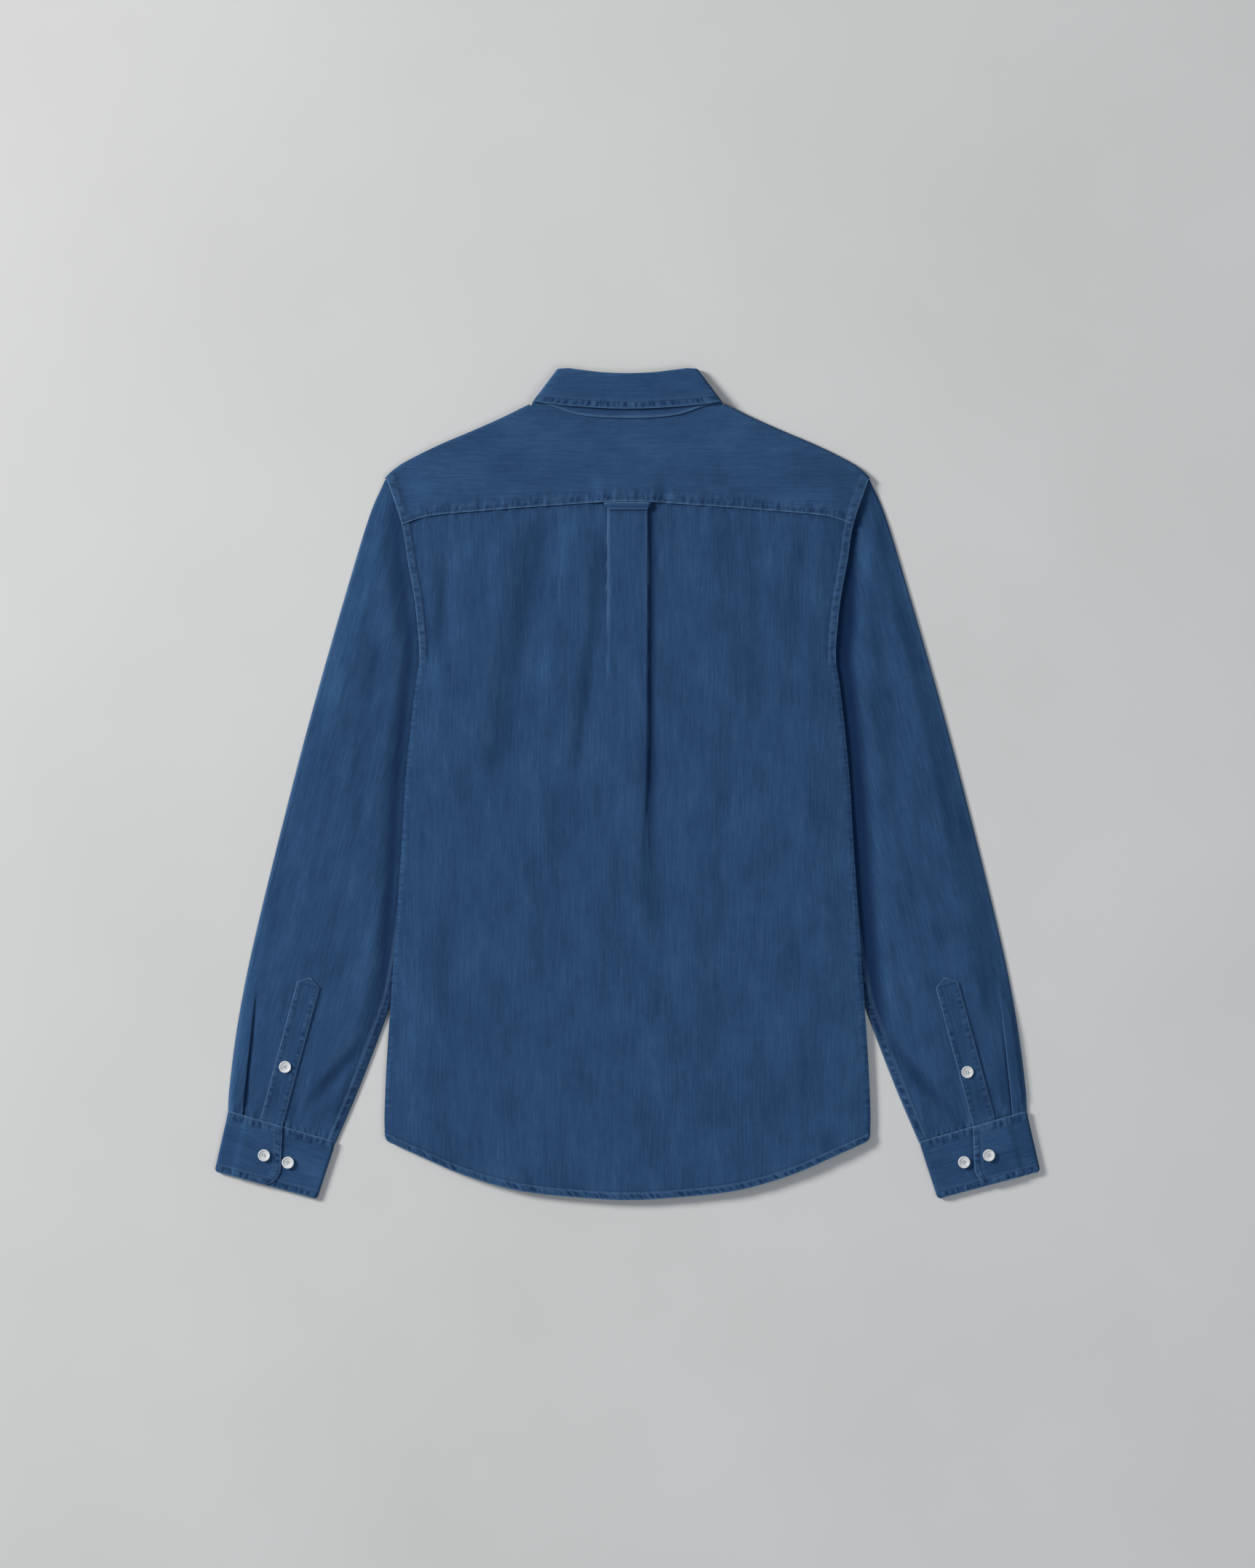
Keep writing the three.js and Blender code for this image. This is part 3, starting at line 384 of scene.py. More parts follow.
class Nodes:
    """Short names for the nodes of one material."""

    def __init__(self, material):
        self.tree = material.node_tree

    def add(self, kind, **values):
        node = self.tree.nodes.new(kind)
        for key, value in values.items():
            if hasattr(node, key):
                setattr(node, key, value)
            else:
                node.inputs[key.replace("_", " ")].default_value = value
        return node

    def link(self, a, b):
        self.tree.links.new(a, b)

    def streaks(self, source, scale, detail=2.0, rough=0.55):
        stretch = self.add("ShaderNodeMapping")
        stretch.inputs["Scale"].default_value = scale
        noise = self.add("ShaderNodeTexNoise", Scale=1.0, Detail=detail, Roughness=rough)
        self.link(source, stretch.inputs["Vector"])
        self.link(stretch.outputs["Vector"], noise.inputs["Vector"])
        return noise.outputs["Fac"]

    def band(self, value, low, high, to_low, to_high):
        node = self.add("ShaderNodeMapRange", clamp=True)
        ends = [("From Min", low), ("From Max", high), ("To Min", to_low), ("To Max", to_high)]
        for key, number in ends:
            node.inputs[key].default_value = number
        self.link(value, node.inputs["Value"])
        return node.outputs["Result"]

    def math(self, operation, a, b):
        node = self.add("ShaderNodeMath", operation=operation)
        for socket, value in zip(node.inputs, (a, b)):
            if isinstance(value, (int, float)):
                socket.default_value = value
            else:
                self.link(value, socket)
        return node.outputs["Value"]

    def blend(self, factor, a, b):
        node = self.add("ShaderNodeMix", data_type="RGBA")
        for socket, value in ((node.inputs[0], factor), (node.inputs[6], a), (node.inputs[7], b)):
            if isinstance(value, tuple):
                socket.default_value = value
            else:
                self.link(value, socket)
        return node.outputs[2]


# Colour of the painted shade in folds, grooves and pucker pits, and beside and under raised edges
PAINTED_SHADE_INDIGO = (0.0008, 0.0205, 0.077, 1)
INDIGO_DARK = (0.0095, 0.044, 0.119, 1)
INDIGO = (0.0202, 0.0695, 0.169, 1)
INDIGO_PALE = (0.0385, 0.109, 0.239, 1)
INDIGO_WORN = (0.105, 0.215, 0.38, 1)


def denim():
    """Washed shirting denim: slubby warp streaks, a fine weft, faded seam edges, and painted shade from
    the shade attribute.
    """
    material, surface = shader("washed_denim", 0.9, sheen=0.04)
    n = Nodes(material)
    grain = n.add("ShaderNodeAttribute", attribute_name="grain").outputs["Vector"]
    wear = n.add("ShaderNodeAttribute", attribute_name="wear").outputs["Fac"]
    shade = n.add("ShaderNodeAttribute", attribute_name="shade").outputs["Fac"]
    band = n.add("ShaderNodeAttribute", attribute_name="seam").outputs["Vector"]
    split_band = n.add("ShaderNodeSeparateXYZ")
    n.link(band, split_band.inputs["Vector"])
    seam = split_band.outputs["X"]
    pebbles = n.streaks(band, (0, 270, 75), detail=1)
    # Painted shade in the pucker pits along sewn bands; the crests between them are made paler
    pits = n.math("MULTIPLY", seam, n.band(pebbles, 0.39, 0.51, 0.78, 0))
    crests = n.math("MULTIPLY", seam, n.band(pebbles, 0.52, 0.64, 0, 0.24))
    shade = n.math("MAXIMUM", shade, pits)
    wear = n.math("MAXIMUM", wear, crests)
    slubs = n.streaks(grain, (520, 30, 1), detail=3)
    yarns = n.streaks(grain, (1250, 95, 1), detail=2)
    weft = n.streaks(grain, (120, 800, 1), detail=2)
    bands = n.streaks(grain, (110, 7, 1), detail=2)
    cloud = n.streaks(grain, (26, 15, 1), detail=5, rough=0.62)
    tone = 0
    for source, share in ((slubs, 0.22), (yarns, 0.13), (weft, 0.07), (bands, 0.1), (cloud, 0.34)):
        tone = n.math("ADD", n.math("MULTIPLY", n.band(source, 0.3, 0.7, -1, 1), share), tone)
    dark = n.blend(n.band(tone, -0.62, 0, 0, 1), INDIGO_DARK, INDIGO)
    washed = n.blend(n.band(tone, 0, 0.75, 0, 1), dark, INDIGO_PALE)
    # Painted shade: the shade attribute mixes the deep shade colour in
    painted_shade_colour = n.blend(shade, washed, PAINTED_SHADE_INDIGO)
    colour = n.blend(n.math("MULTIPLY", wear, n.band(yarns, 0.25, 0.6, 0.4, 1)), painted_shade_colour, INDIGO_WORN)
    n.link(colour, surface.inputs["Base Color"])
    n.link(n.band(slubs, 0.3, 0.7, 0.95, 0.84), surface.inputs["Roughness"])
    split = n.add("ShaderNodeSeparateXYZ")
    n.link(grain, split.inputs["Vector"])
    turns = 2 * math.pi / (0.8 * MM)
    twill = n.math("ADD", split.outputs["X"], split.outputs["Y"])
    over = n.math("SINE", n.math("MULTIPLY", twill, turns), 0)
    height = n.math("ADD", n.math("MULTIPLY", over, 0.2), n.math("MULTIPLY", slubs, 2.2))
    height = n.math("ADD", height, n.math("MULTIPLY", weft, 0.6))
    bump = n.add("ShaderNodeBump", Strength=0.5, Distance=0.16 * MM)
    n.link(height, bump.inputs["Height"])
    pucker = n.add("ShaderNodeBump", Strength=0.7, Distance=1.1 * MM)
    n.link(n.math("MULTIPLY", seam, pebbles), pucker.inputs["Height"])
    n.link(bump.outputs["Normal"], pucker.inputs["Normal"])
    n.link(pucker.outputs["Normal"], surface.inputs["Normal"])
    return material


def button_plastic():
    material, surface = shader("button_white", 0.32)
    n = Nodes(material)
    place = n.add("ShaderNodeTexCoord").outputs["Object"]
    pearl = n.streaks(place, (260, 420, 260), detail=3)
    colour = n.blend(n.band(pearl, 0.3, 0.7, 0, 1), (0.62, 0.64, 0.66, 1), (0.83, 0.845, 0.85, 1))
    n.link(colour, surface.inputs["Base Color"])
    n.link(n.band(pearl, 0.3, 0.7, 0.28, 0.42), surface.inputs["Roughness"])
    return material


def thread(name, dark, pale):
    material, surface = shader(name, 0.7, sheen=0.2)
    n = Nodes(material)
    place = n.add("ShaderNodeTexCoord").outputs["Object"]
    twist = n.streaks(place, (1100, 1300, 900), detail=2)
    n.link(n.blend(n.band(twist, 0.3, 0.7, 0, 1), dark, pale), surface.inputs["Base Color"])
    return material


DENIM = denim()
BUTTON = button_plastic()
BLUE_THREAD = thread("blue_thread", (0.010, 0.034, 0.09, 1), (0.032, 0.082, 0.18, 1))
WHITE_THREAD = thread("white_thread", (0.55, 0.57, 0.6, 1), (0.75, 0.77, 0.8, 1))


# Back

def fold_section(depth, is_open, spread):
    """One pressed side of a pleat, from the low layer round to the high one. depth and
    is_open hold one value for each row. Gives offsets from the fold's outer edge, and rises."""
    r = PLEAT_ROUND
    turn = np.linspace(0, math.pi, 6)
    x = [depth - r + r * math.sin(a) for a in turn]
    z = [r - r * math.cos(a) for a in turn]
    x.append(depth / 2)
    z.append(2 * r)
    x.extend(r - r * math.sin(a) + 0 * depth for a in turn)
    z.extend(3 * r - r * math.cos(a) for a in turn)
    x = np.stack(x, -1)
    flat = (np.linspace(0, 1, x.shape[-1]) - 0.5) * 5 * spread
    mixed = mix(x, flat, is_open[:, None])
    return mixed, np.array(z)[None, :] * (1 - is_open[:, None])


def pleat_state(side, y):
    sharp_to = 150 if side < 0 else 40
    flat_at = 60 if side < 0 else -120
    shut = ease((y - sharp_to) / (264 - sharp_to))
    depth = mix(4 * PLEAT_ROUND, PLEAT_DEPTH, shut)
    return depth, 1 - ease((y - flat_at) / (sharp_to - flat_at))


def back_relief(x, y, half):
    """Small relief of the back: felled armholes, side seams, rolled hem and puckers."""
    from_side = half - np.abs(x)
    from_hem = y - hem_y(x)
    from_seam = yoke_seam_y(x) - y
    side = np.sign(x)
    armhole = ease((y - 112) / 12)
    relief = -1.0 * (1 - armhole) * np.exp(-((from_side / 2.2) ** 2))
    band = ease((FELL + 0.6 - from_side) / 1.2)
    puckers = ripple(y + 13 * side, 3 + side, 9.5) * np.exp(-(((from_side - 4) / 4.5) ** 2))
    relief = relief + armhole * (0.5 * band + 0.75 * puckers)
    hem_band = ease((FELL + 0.6 - from_hem) / 1.2)
    roping = ripple(x + 0.9 * from_hem, 5, 10.5) * np.exp(-(((from_hem - 3.5) / 4) ** 2))
    relief = relief + 0.45 * hem_band + 0.6 * roping
    gathers = ripple(x, 8, 13) * np.exp(-np.maximum(from_seam, 0) / 16)
    hanging = ripple(x + 0.12 * y, 14, 23) * np.exp(-np.maximum(from_seam, 0) / 95)
    drift = ripple(x + 0.15 * y, 11, 41) * (0.6 + 0.4 * ripple(y - 0.2 * x, 12, 130))
    return relief + 0.35 * gathers + 0.5 * hanging * (0.6 + 0.4 * ripple(y, 15, 60)) + 0.42 * drift


def corner_rise(x):
    """How far the hem's rounded side corner stands above the hem's line."""
    reach = np.clip((np.abs(x) - 233.5) / HEM_CORNER + 1, 0, 1)
    return HEM_CORNER * (1 - np.sqrt(1 - reach * reach))


def back_panel():
    heights = spaced((0.018, 12), (0.97, 216), (1, 8))
    side_y = mix(-343, 250 + YOKE_LAP, heights)
    half = torso_half(side_y)
    lateral = spaced((0.955, 66), (1, 9))

    def y_at(x):
        low = hem_y(x / half[:, None] * 233.5) + corner_rise(x / half[:, None] * 233.5)
        high = yoke_seam_y(x / half[:, None] * 219) + YOKE_LAP
        return mix(low, high, heights[:, None])

    halves = []
    for side in (-1, 1):
        middle_y = y_at(np.full((len(heights), 1), PLEAT_HALF))[:, 0]
        depth, is_open = pleat_state(side, middle_y)
        offset, rise = fold_section(depth, is_open, 3)
        pleat_x = (PLEAT_HALF - offset)[:, ::-1]
        start = pleat_x[:, -1:]
        plain_x = mix(start, half[:, None], lateral[None, 1:])
        centre = mix(0, pleat_x[:, :1], np.linspace(0, 1, 8)[None, (0 if side > 0 else 1):-1])
        x = side * np.concatenate([centre, pleat_x, plain_x], 1)
        top = np.repeat(rise[:, -1:], centre.shape[1], 1)
        z = np.concatenate([top, rise[:, ::-1], 0 * plain_x], 1)
        if side < 0:
            x, z = x[:, ::-1], z[:, ::-1]
        halves.append((x, z))
    x = np.concatenate([halves[0][0], halves[1][0]], 1)
    extra = np.concatenate([halves[0][1], halves[1][1]], 1)
    centre = np.abs(x) < 12
    shared = (halves[0][1][:, -1:] + halves[1][1][:, :1]) / 2
    blend = ease(np.abs(x) / 12)
    extra = np.where(centre, mix(shared, extra, blend), extra)
    y = y_at(x)
    flat = back_relief(x, y, half[:, None])
    folded = ease((np.abs(np.abs(x) - PLEAT_HALF) - 4) / 8)
    z = back_middle(x, y) + extra + flat * mix(1, folded, ease((y - 150) / 40))
    from_side = half[:, None] - np.abs(x)
    from_hem = y - hem_y(x)
    armhole = ease((y - 112) / 12)
    wear = 0.7 * np.exp(-((from_hem / 1.0) ** 2)) + 0.35 * np.exp(-(((from_hem - 6.4) / 0.9) ** 2))
    wear = wear + armhole * 0.5 * np.exp(-((from_side / 1.0) ** 2))
    wear = wear + armhole * 0.25 * np.exp(-(((from_side - 6.6) / 0.8) ** 2))
    wear = wear + armhole * 0.1 * ease((7 - from_side) / 1.5)
    crisp = ease((y - 40) / 200)
    wear = wear + 0.5 * crisp * np.exp(-(((np.abs(x) - PLEAT_HALF) / 0.9) ** 2))
    # Painted shade: dark lines by the felled armhole and the hem, pucker dips and fold valleys
    dips = np.maximum(-ripple(y + 13 * np.sign(x), 3 + np.sign(x), 9.5), 0)
    shade = armhole * (0.5 * np.exp(-(((from_side - 8) / 1.0) ** 2))
                       + 0.5 * dips * np.exp(-(((from_side - 4) / 4) ** 2)))
    roping = np.maximum(-ripple(x + 0.9 * from_hem, 5, 10.5), 0)
    shade = shade + 0.45 * np.exp(-(((from_hem - 8) / 1.0) ** 2))
    shade = shade + 0.4 * roping * np.exp(-(((from_hem - 3.5) / 3.5) ** 2))
    valleys = np.maximum(-fold_height(BACK_FOLDS, x, y), 0)
    shade = shade + 0.15 * valleys * ease(from_side / 25)
    # Painted shadow under the yoke's lapped edge
    shade = shade + 0.5 * np.exp(-np.maximum(yoke_seam_y(x) - y, 0) / 2.5)
    # Painted shadow beside the pleat's folds, reaching further down on the right
    beside = np.abs(x) - PLEAT_HALF
    pleat_shadow_fade = ease((y + 130) / 220)
    right_of = pleat_shadow_fade * ease((11 - beside) / 8) * 0.85
    left_of = 0.5 * crisp * np.exp(-np.maximum(beside, 0) / 3.2)
    shade = shade + np.where(beside > 0.8, np.where(x > 0, right_of, left_of), 0)
    # Painted shadow under the locker loop
    below_loop = yoke_seam_y(x) - 0.7 - LOOP_WIDTH - y
    shade = shade + 0.5 * np.exp(-((below_loop - 1) / 3) ** 2) * ease((22 - np.abs(x)) / 3)
    shade = np.minimum(shade, 0.75)
    from_yoke = np.maximum(yoke_seam_y(x) - y, 0)
    seam = sewn((armhole * np.exp(-(((from_side - 3.7) / 3.4) ** 4)), y, from_side),
                (np.exp(-(((from_hem - 3.6) / 3.6) ** 4)), x + 0.8 * from_hem, from_hem),
                (0.6 * np.exp(-from_yoke / 5) * ease((from_side - 8) / 4), x, from_yoke),
                (0.5 * (1 - armhole) * np.exp(-((from_side / 5) ** 2)) * ease((from_hem - 8) / 4),
                 y, from_side))
    grain = np.stack([x, y], -1)
    middle = np.stack([x, y, z], -1)
    piece = cloth("back_panel_cloth", middle, grain, wear, shade=shade, seam=seam)
    return put(piece, "back_panel")


# Fronts

def front_neck_y(x):
    reach = np.minimum(np.abs(x) / NECK_HALF, 1)
    return mix(FRONT_NECK_Y, BACK_NECK_Y, 1 - np.sqrt(1 - reach * reach))


def front_top_y(x):
    wide = np.maximum(np.abs(x), 92.4)
    shoulder = shoulder_y(wide) - (YOKE_TURN + 2.5) * 1.13 - 1 - 7 * ease((wide - 190) / 30)
    return np.minimum(front_neck_y(x), shoulder)


def front_panel(side, name):
    heights = spaced((0.02, 6), (0.86, 90), (1, 34))
    shares = spaced((0.3, 26), (0.42, 20), (0.97, 44), (1, 4))
    half = torso_half(mix(-341, 264, heights))[:, None] - 0.6
    x = side * mix(-PLACKET_HALF, half, shares[None, :])
    low = hem_y(x / half * 233.5) + 2.5 + corner_rise(x / half * 233.5)
    y = mix(low, front_top_y(x / half * 228), heights[:, None])
    z = front_middle(side, x, y)
    from_hem = y - low
    wear = 0.5 * np.exp(-((from_hem / 1.6) ** 2)) * np.ones_like(z)
    if side < 0:
        x, y, z, wear = (v[:, ::-1] for v in (x, y, z, wear))
    grain = np.stack([x, y], -1)
    piece = cloth(name + "_cloth", np.stack([x, y, z], -1), grain, wear)
    put(piece, name)
    return piece


# Yoke

def yoke():
    turn = 2.0
    shoulder_from = 0.39
    inner = spaced((0.39, 56))
    outer = mix(0.4, 1, spaced((0.96, 66), (1, 6)))
    wide = np.concatenate([inner, outer])
    shares = np.concatenate([-wide[:0:-1], wide])
    heights = spaced((0.1, 9), (1, 40))
    half = torso_half(mix(250, 292, heights))[:, None]
    x = shares[None, :] * half
    is_shoulder = np.abs(shares) > shoulder_from
    neck_end = 3.4 * ease((np.abs(shares * 231.5) - 45) / 25)
    at_neck = 1.6 * ease(1 - (np.abs(shares * 231.5) - 92.4) / 12)
    top = np.where(is_shoulder, shoulder_y(shares * 231.5) - turn - WALL / 2 - at_neck,
                   neck_seam_y(shares * 231.5) + neck_end)
    y = mix(yoke_seam_y(shares[None, :] * 217.3), top[None, :], heights[:, None])
    from_seam = y - yoke_seam_y(x)
    from_side = half - np.abs(x)
    puckers = ripple(x, 21, 14) * np.exp(-(((from_seam - 3) / 9) ** 2))
    side_puckers = ripple(y, 22, 9.5) * np.exp(-(((from_side - 4) / 4.5) ** 2))
    relief = 0.5 * puckers + 0.5 * side_puckers + 0.45 * ease((FELL + 0.6 - from_side) / 1.2)
    relief = relief + 0.35 * ripple(x * 0.3 + y, 23, 34) * ripple(x, 24, 90)
    relief = relief * ease((top[None, :] - y) / 8)
    z = yoke_middle(x, y) + relief
    edge = np.stack([x[-1], y[-1], z[-1]], -1)
    along = np.gradient(edge[:, :2], axis=0)
    outward = np.stack([-along[:, 1], along[:, 0]], -1)
    outward = np.where(is_shoulder[:, None], outward, [0, 1])
    outward /= np.linalg.norm(outward, axis=1, keepdims=True)
    low = FLOOR_LAYER + collar_lift(edge[:, 0], edge[:, 1])
    rows = [np.stack([x, y, z], -1)]
    for angle in np.linspace(0, math.pi, 9)[1:]:
        radius = (edge[:, 2] - low) / 2
        spot = edge[:, :2] + outward * turn * math.sin(angle)
        height = edge[:, 2] - radius * (1 - math.cos(angle))
        rows.append(np.concatenate([spot, height[:, None]], 1)[None])
    for width in (3, 6, 9, 13, 17, 21, YOKE_TURN):
        spot = edge[:, :2] - outward * width
        height = FLOOR_LAYER + collar_lift(spot[:, 0], spot[:, 1])
        rows.append(np.concatenate([spot, height[:, None]], 1)[None])
    middle = np.concatenate(rows)
    cells = np.ones((middle.shape[0] - 1, middle.shape[1] - 1), bool)
    nearest = np.minimum(np.abs(shares[:-1]), np.abs(shares[1:]))
    cells[len(heights) - 1:] = nearest[None, :] > shoulder_from
    wear = np.zeros(middle.shape[:2])
    wear[:len(heights)] = 0.8 * np.exp(-((from_seam / 0.9) ** 2))
    wear[:len(heights)] += 0.6 * np.exp(-((from_side / 1.0) ** 2))
    wear[:len(heights)] += 0.25 * np.exp(-(((from_side - 6.6) / 0.8) ** 2))
    wear[:len(heights)] += 0.1 * ease((7 - from_side) / 1.5) + 0.03
    # Painted shade: the line inside the felled armhole band, the groove below the seam and the pucker dips
    shade = np.zeros(middle.shape[:2])
    shade[:len(heights)] = 0.5 * np.exp(-(((from_side - 8) / 1.0) ** 2))
    shade[:len(heights)] += 0.35 * np.exp(-(((from_seam - 3.4) / 1.0) ** 2))
    dips = np.maximum(-ripple(y, 22, 9.5), 0)
    shade[:len(heights)] += 0.45 * dips * np.exp(-(((from_side - 4) / 4) ** 2))
    dips = np.maximum(-ripple(x, 21, 14), 0)
    shade[:len(heights)] += 0.3 * dips * np.exp(-(((from_seam - 4) / 7) ** 2))
    grain = np.stack([middle[..., 1], middle[..., 0]], -1)
    grain[len(heights):, :, 0] = middle[..., 1][len(heights) - 1] + 3
    seam = np.zeros(middle.shape)
    seam[:len(heights)] = sewn((np.exp(-(((from_side - 3.7) / 3.4) ** 4)), y, from_side),
                               (0.9 * np.exp(-(((from_seam - 3) / 6.5) ** 2))
                                * ease((from_side - 8) / 4), x, from_seam))
    piece = cloth("yoke_cloth", middle, grain, wear, cells=cells, shade=shade, seam=seam)
    put(piece, "yoke")
    return piece


# Sleeves

def sleeve_ring(v, w):
    """Place on a sleeve: v from its head to its cuff, w from its outer to its inner fold."""
    lapped = v < 0
    down = np.maximum(v, 0)
    outer_y = mix(293, CUFF_OUTER_TOP[1] + 0.7, down)
    inner_y = mix(121.5, CUFF_INNER_TOP[1] + 0.7, down)
    curve = ease(1 - v / 0.35)
    outer_x = follow(SLEEVE_OUTER, outer_y) - WALL / 2
    inner_x = follow(SLEEVE_INNER, inner_y) + WALL / 2
    armhole_y = mix(293, 121.5, w)
    bulge = torso_half(armhole_y) - mix(torso_half(293), torso_half(121.5), w)
    lap = 9 * np.sin(np.minimum(w * 1.02 + 0.35, 1) * math.pi)
    clear = ease(1 - w / 0.12) * 0.7 * ease(1 - v / 0.045)
    side = np.where(lapped, -lap, 0.9 * curve)
    x = mix(outer_x, inner_x, w) + curve * bulge + side - clear * 0.6
    return x, mix(outer_y, inner_y, w) - clear * 0.8


def sleeve_relief(side, x, y, v, w):
    """Small relief of a sleeve's top: the armhole's puckers, the felled seam inside its
    inner fold and soft creases across it."""
    outside = np.abs(x) - torso_half(np.minimum(y, 294))
    inner_gap = np.minimum(outside, follow(SLEEVE_OUTER, y) - np.abs(x))
    head = ripple(y, 31 + side, 9.5) * np.exp(-((outside / 6) ** 2)) * ease((y - 112) / 12)
    from_inner = np.abs(x) - follow(SLEEVE_INNER, y)
    felled = np.exp(-(((from_inner - 6) / 2.2) ** 2)) * ease((-150 - y) / 60)
    at_cuff = ripple(x, 35 + side, 12) * np.exp(-np.maximum(above_cuff(x, y), 0) / 12)
    creases = ripple(0.25 * x + 0.3 * y, 37 + side, 38) * ripple(x + 0.2 * y, 39, 55)
    inside = ease(w / 0.1) * ease((1 - w) / 0.1)
    long_folds = ripple(np.abs(x) + 0.22 * y, 43 + side, 26) * (0.6 + 0.4 * ripple(y, 44, 90))
    felled = felled * (0.45 + 0.5 * ripple(y, 33 + side, 9))
    soft = 0.45 * creases + 0.5 * long_folds * ease(inner_gap / 22)
    return inside * (0.25 * head + felled + 0.45 * at_cuff + soft * ease(v / 0.05))


def sleeve(side, end):
    stations = np.concatenate([[-0.02], spaced((0.04, 10), (0.96, 210), (1, 14))])
    v = stations[:, None]
    start = mix(0.09, 0.13, ease((v - 0.75) / 0.25))
    shut = ease((v - 0.82) / 0.12)[:, 0]
    is_open = (1 - ease((v - 0.76) / 0.12))[:, 0]
    offset, rise = fold_section(mix(4 * PLEAT_ROUND, 7, shut), is_open, 1.2)
    rise = rise * (1 - 0.5 * ease((v - 0.97) / 0.02))
    width = np.maximum(sleeve_ring(v, 0 * v)[0] - sleeve_ring(v, 0 * v + 1)[0], 90)
    pleat_w = start - offset[:, ::-1] / width
    first_w = pleat_w.min(axis=1, keepdims=True)
    before = first_w * np.array([[0.15, 0.3, 0.5, 0.7, 0.88]])
    beyond = start + (0.2 - start) * np.array([[0.01, 0.04, 0.1, 0.18, 0.3, 0.48, 0.7, 0.98]])
    flat = mix(start + 3.4 / width, 0.2, np.linspace(0, 0.98, 8))
    beyond = np.where(is_open[:, None] > 0, mix(beyond, flat, is_open[:, None]), beyond)
    after = spaced((0.2, 1), (0.31, 10), (0.95, 46), (0.992, 5))[None, 1:]
    after = np.concatenate([beyond, np.repeat(after, len(stations), 0)], 1)
    w_top = np.concatenate([before, pleat_w, after], 1)
    from_outer = ease(before * width / 5)
    lift = np.concatenate([rise[:, -1:] * from_outer, rise[:, ::-1], 0 * after], 1)
    w_low = np.repeat(np.linspace(0.99, 0.01, 24)[None], len(stations), 0)

    x, y = sleeve_ring(v, w_top)
    z = sleeve_top(side * x, y) + lift + sleeve_relief(side, x, y, v, w_top)
    low_x, low_y = sleeve_ring(v, w_low)
    low_z = sleeve_bottom(low_x, low_y)
    rings = []
    for w, at_start in ((0.0, True), (1.0, False)):
        ex, ey = sleeve_ring(v, np.full_like(v, w))
        ez = (sleeve_top(side * ex, ey) + sleeve_bottom(ex, ey)) / 2
        rings.append((ex, ey, ez))
    outer, inner = rings
    xs = np.concatenate([outer[0], x, inner[0], low_x], 1)
    ys = np.concatenate([outer[1], y, inner[1], low_y], 1)
    zs = np.concatenate([outer[2], z, inner[2], low_z], 1)
    share = np.concatenate([0 * v, w_top, 0 * v + 1, w_low], 1)
    tilt = math.radians(14.5)
    along = -xs * math.sin(tilt) + ys * math.cos(tilt)
    across = xs * math.cos(tilt) + ys * math.sin(tilt)
    grain = np.stack([across * side, along], -1)
    wear = 0.3 * np.exp(-((share * width / 1.5) ** 2)) + 0.35 * np.exp(-(((1 - share) * width / 1.5) ** 2))
    from_inner = (1 - share) * width
    wear = wear + 0.4 * np.exp(-(((from_inner - 7) / 1.2) ** 2)) * ease((-60 - ys) / 90)
    wear = wear * ease((v - 0.05) / 0.1)
    # Painted shade: the shadow on the sleeve beside the torso's side, fold valleys, and the felled seam's
    # band and its pucker dips
    outside = xs - torso_half(np.minimum(ys, 294))
    ends = ease((290 - ys) / 45) * ease((ys + 330) / 150)
    if side > 0:
        reach = mix(9, 25, ease((250 - ys) / 110))
        shade = ends * ease((reach - outside) / (0.62 * reach))
    else:
        shade = 0.7 * ends * np.exp(-(((outside - mix(4, 9, ease((270 - ys) / 60))) / 6.5) ** 2))
        shade = np.where(outside < 5, np.maximum(shade, 0.4 * ends), shade)
    valleys = np.maximum(-fold_height(SLEEVE_FOLDS, xs, ys), 0)
    shade = shade + 0.2 * valleys * ease((v - 0.02) / 0.08)
    felled = ease((-60 - ys) / 90)
    dips = np.maximum(-ripple(ys, 33 + side, 9), 0)
    shade = shade + felled * (0.2 + 0.35 * dips) * np.exp(-(((from_inner - 4) / 3.5) ** 4))
    shade = shade + 0.4 * np.exp(-(((from_inner - 8.8) / 1.2) ** 2)) * ease((-60 - ys) / 90)
    first = 1 + before.shape[1] + pleat_w.shape[1]
    # Painted shadow beside the pleat's fold edge near the cuff
    beside = shut[:, None] * np.exp(-((np.maximum(after - start, 0) * width / 2.6) ** 2))
    shade[:, first:first + after.shape[1]] += beside
    wear[:, first - 12:first - 7] += 0.3 * shut[:, None] * ease((1 - v) / 0.01)
    seam = sewn((felled * np.exp(-(((from_inner - 3.8) / 3.6) ** 4)), ys, from_inner),
                (0.7 * np.exp(-((np.maximum(above_cuff(xs, ys), 0) / 9) ** 2))
                 * ease((from_inner - 8) / 4), xs, ys))
    middle = np.stack([side * xs, ys, zs], -1)
    if side < 0:
        middle, grain, wear, shade, seam = (a[:, ::-1] for a in (middle, grain, wear, shade, seam))
    name = "sleeve_" + end
    piece = cloth(name + "_cloth", middle, grain, wear, closed=True, shade=shade, seam=seam)
    put(piece, name)
    return piece


# Cuffs

def cuff_place(w, h):
    top_x = mix(CUFF_OUTER_TOP[0], CUFF_INNER_TOP[0], w)
    top_y = mix(CUFF_OUTER_TOP[1], CUFF_INNER_TOP[1], w)
    low_x = mix(CUFF_OUTER_BOTTOM[0], CUFF_INNER_BOTTOM[0], w)
    low_y = mix(CUFF_OUTER_BOTTOM[1], CUFF_INNER_BOTTOM[1], w)
    return mix(top_x, low_x, h), mix(top_y, low_y, h)


def cuff_end(h):
    """Where the cuff's lapping end lies, with its rounded corner."""
    rest = np.clip((h - 0.7) / 0.3, 0, 1)
    return np.where(h < 0.7, 0.507 + 0.127 * h, 0.457 + 0.139 * np.sqrt(1 - rest * rest))


CUFF_UPPER = FLOOR_LAYER + 3 * LAYER


